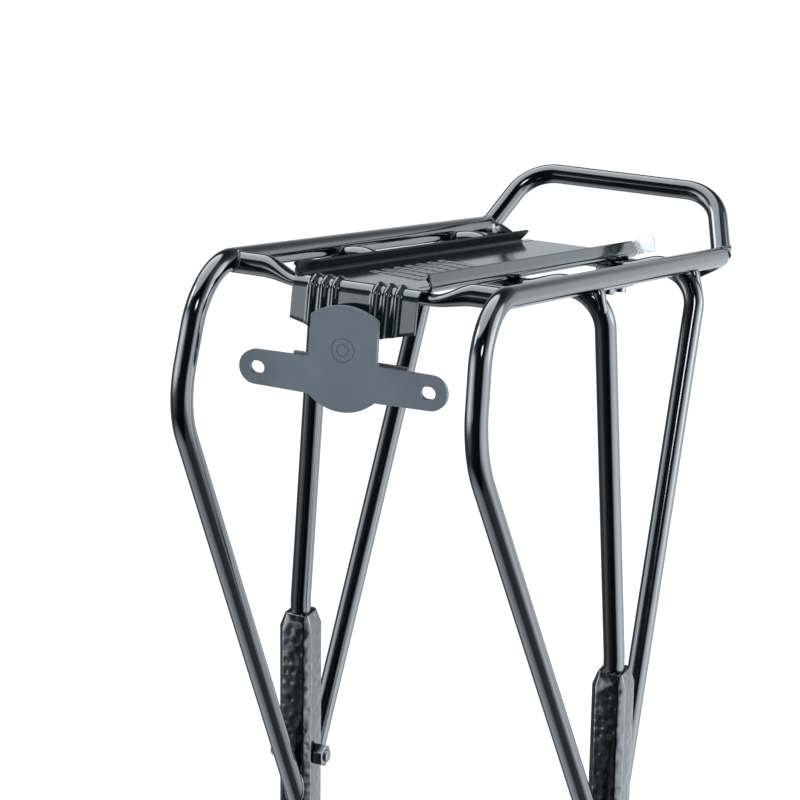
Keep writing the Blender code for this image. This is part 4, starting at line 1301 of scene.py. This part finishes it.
class CARRIER_OT_stays(Operator):
    """Makes the front stays and their clamps."""

    bl_idname = "carrier.stays"
    bl_label = "Front stays"

    def execute(self, context):
        for name, _ in SIDES:
            low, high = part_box(f"stay_{name}")
            x, _, z = box_middle(f"stay_{name}")
            half, reach = (high.x - low.x) / 2, 8.7 * MM
            rim = slot_outline(x, low.y + half, high.y - half, half, 32)
            rear = FRONT_ARCH_Y - reach - STAY_TRAVEL
            slot = slot_outline(x, rear, FRONT_ARCH_Y + reach, 2.3 * MM, 16)
            eye = arc((x, high.y - half), 2.75 * MM, 0.0, 345.0, 23)
            mesh = outline_mesh("stay", [rim, slot, eye], high.z - low.z)
            mesh = turned(rounded_edges(mesh, 0.4 * MM), Matrix.Translation((0.0, 0.0, z)))
            piece(f"stay_bar_{name}", mesh, "frame paint", [f"stay_{name}"], f"{name}_stay")
            low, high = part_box(f"stay_clamp_body_{name}")
            channel = box_mesh(
                "channel",
                (low.x - MM, FRONT_ARCH_Y - 6.5 * MM, low.z + 2.4 * MM),
                (high.x + MM, FRONT_ARCH_Y + 6.5 * MM, high.z + MM),
            )
            body = rounded_edges(cut(box_mesh("clamp", low, high), channel), 0.5 * MM)
            piece(f"clamp_{name}", body, "frame paint", [f"stay_clamp_body_{name}"])
            cap = rounded_edges(box_mesh("cap", *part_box(f"stay_clamp_cap_{name}")), 0.5 * MM)
            piece(f"clamp_cap_{name}", cap, "frame paint", [f"stay_clamp_cap_{name}"])
            bolts = [f"stay_bolt_{name}_rear", f"stay_bolt_{name}_front"]
            seats = []
            for bolt in bolts:
                low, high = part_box(bolt)
                x, y, _ = box_middle(bolt)
                seats.append(((x, y, low.z + STAY_HEAD * MM), (0.0, 0.0, -1.0)))
            length = (high.z - low.z) / MM - STAY_HEAD
            mesh = screws("stay screws", seats, (2.0, length, 3.5, STAY_HEAD))
            piece(f"stay_screws_{name}", mesh, "zinc", bolts)
        return {"FINISHED"}


# Stage

def area_light(name, place, size, power):
    """A square soft light towards the middle of the carrier, which shows in no reflection."""
    data = bpy.data.lights.new(name, "AREA")
    data.shape = "RECTANGLE"
    data.size, data.size_y = size, size
    data.energy = power
    light = bpy.data.objects.new(name, data)
    light.location = place
    light.rotation_euler = (LIGHT_AIM - Vector(place)).to_track_quat("-Z", "Y").to_euler()
    light.visible_camera = False
    light.visible_glossy = False
    bpy.context.scene.collection.objects.link(light)


def studio_world(stage):
    """A white studio whose soft lights and dark screens show in the gloss."""
    world = bpy.data.worlds.new("studio")
    world.use_nodes = True
    tree = world.node_tree
    shader = tree.nodes["Background"]

    def calculate(operation, *values):
        inputs = dict(enumerate(values))
        return add_node(tree, "ShaderNodeMath", inputs, operation=operation).outputs["Value"]

    def stops(angle, half_turn, table, most):
        """A smooth curve through (degrees, brightness) stops."""
        limit = math.radians(half_turn)
        inputs = {"From Min": -limit, "From Max": limit, "Value": angle}
        share = add_node(tree, "ShaderNodeMapRange", inputs).outputs["Result"]
        ramp = add_node(tree, "ShaderNodeValToRGB", {"Fac": share})
        ramp.color_ramp.interpolation = "EASE"
        elements = ramp.color_ramp.elements
        while len(elements) < len(table):
            elements.new(0.5)
        for element, (degrees, value) in zip(elements, table):
            element.position = (degrees + half_turn) / (2 * half_turn)
            element.color = (value / most, value / most, value / most, 1.0)
        return calculate("MULTIPLY", ramp.outputs["Color"], most)

    place = add_node(tree, "ShaderNodeTexCoord").outputs["Generated"]
    parts = add_node(tree, "ShaderNodeSeparateXYZ", {"Vector": place}).outputs
    walls = stops(calculate("ARCTAN2", parts["Y"], parts["X"]), 180, WALLS, MOST_WALL)
    shown = stops(calculate("ARCSINE", parts["Z"]), 90, WALL_SHARE, 1.0)
    gloss = calculate("MULTIPLY", walls, shown)
    for direction, full, outer, brightness in LAMPS:
        inputs = {0: place, 1: Vector(direction).normalized()}
        facing = add_node(tree, "ShaderNodeVectorMath", inputs, operation="DOT_PRODUCT")
        inputs = {
            "From Min": math.cos(math.radians(outer)),
            "From Max": math.cos(math.radians(full)),
            "To Max": brightness,
            "Value": facing.outputs["Value"],
        }
        disc = add_node(tree, "ShaderNodeMapRange", inputs, interpolation_type="SMOOTHSTEP")
        gloss = calculate("ADD", gloss, disc.outputs["Result"])
    ray = add_node(tree, "ShaderNodeLightPath").outputs
    soft = calculate("MULTIPLY_ADD", ray["Is Camera Ray"], 1.0 - stage.soft, stage.soft)
    inputs = {"Factor": ray["Is Glossy Ray"], "A": soft, "B": gloss}
    strength = add_node(tree, "ShaderNodeMix", inputs)
    tree.links.new(strength.outputs["Result"], shader.inputs["Strength"])
    tint = add_node(tree, "ShaderNodeMix", data_type="RGBA")
    tint.inputs["A"].default_value = (1.0, 1.0, 1.0, 1.0)
    tint.inputs["B"].default_value = (*stage.sky, 1.0)
    tree.links.new(ray["Is Glossy Ray"], tint.inputs["Factor"])
    tree.links.new(tint.outputs["Result"], shader.inputs["Color"])
    return world


class CARRIER_OT_stage(Operator):
    """Sets the floor, the lights and the camera."""

    bl_idname = "carrier.stage"
    bl_label = "Stage"

    def execute(self, context):
        stage = context.scene.carrier_stage
        bm = bmesh.new()
        bmesh.ops.create_circle(bm, cap_ends=True, segments=96, radius=120.0)
        floor = guide_object("floor", mesh_of(bm, "floor"))
        floor.location.z = FLOOR_Z
        floor.data.materials.append(floor_paint("studio floor", stage.floor))
        floor.visible_glossy = False
        context.scene.world = studio_world(stage)
        context.scene.view_settings.view_transform = "Standard"
        area_light("key", (1.9, -0.6, 1.5), 1.4, stage.wall)
        area_light("fill", (-1.8, -0.9, 1.2), 1.6, stage.wall * 0.4)
        self.camera(context)
        return {"FINISHED"}

    def camera(self, context):
        data = bpy.data.cameras.new("camera")
        data.lens = CAMERA_LENS
        data.sensor_width = 36.0
        camera = bpy.data.objects.new("camera", data)
        azimuth, elevation, roll = (math.radians(angle) for angle in CAMERA_ANGLES)
        level = Vector((math.cos(azimuth), math.sin(azimuth), 0.0))
        ahead = (
            -math.sin(azimuth) * math.cos(elevation),
            math.cos(azimuth) * math.cos(elevation),
            -math.sin(elevation),
        )
        upright = level.cross(Vector(ahead))
        right = math.cos(roll) * level + math.sin(roll) * upright
        up = -math.sin(roll) * level + math.cos(roll) * upright
        turn = Matrix((right, up, -Vector(ahead))).transposed().to_4x4()
        camera.matrix_world = Matrix.Translation(CAMERA_PLACE) @ turn
        context.scene.collection.objects.link(camera)
        context.scene.camera = camera


class CARRIER_PT_panel(Panel):
    """Lists the carrier's operators."""

    bl_idname = "CARRIER_PT_panel"
    bl_label = "Rear carrier"
    bl_space_type = "VIEW_3D"
    bl_region_type = "UI"
    bl_category = "Carrier"

    def draw(self, context):
        for operator in OPERATORS:
            self.layout.operator(operator.bl_idname)


SETTINGS = (
    ("carrier_tubes", TubeSettings),
    ("carrier_deck", DeckSettings),
    ("carrier_bracket", BracketSettings),
    ("carrier_stage", StageSettings),
)
OPERATORS = (
    CARRIER_OT_stage,
    CARRIER_OT_tubes,
    CARRIER_OT_gussets,
    CARRIER_OT_welds,
    CARRIER_OT_deck,
    CARRIER_OT_end_piece,
    CARRIER_OT_bracket,
    CARRIER_OT_housings,
    CARRIER_OT_feet,
    CARRIER_OT_stays,
)


def register():
    for name, group in SETTINGS:
        bpy.utils.register_class(group)
        setattr(bpy.types.Scene, name, PointerProperty(type=group))
    for kind in (*OPERATORS, CARRIER_PT_panel):
        bpy.utils.register_class(kind)


def unregister():
    for kind in reversed((*OPERATORS, CARRIER_PT_panel)):
        bpy.utils.unregister_class(kind)
    for name, group in reversed(SETTINGS):
        delattr(bpy.types.Scene, name)
        bpy.utils.unregister_class(group)


def write_sizes():
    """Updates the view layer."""
    bpy.context.view_layer.update()


def main():
    register()
    for operator in OPERATORS:
        group, name = operator.bl_idname.split(".")
        getattr(getattr(bpy.ops, group), name)()
    write_sizes()


if __name__ == "__main__":
    main()
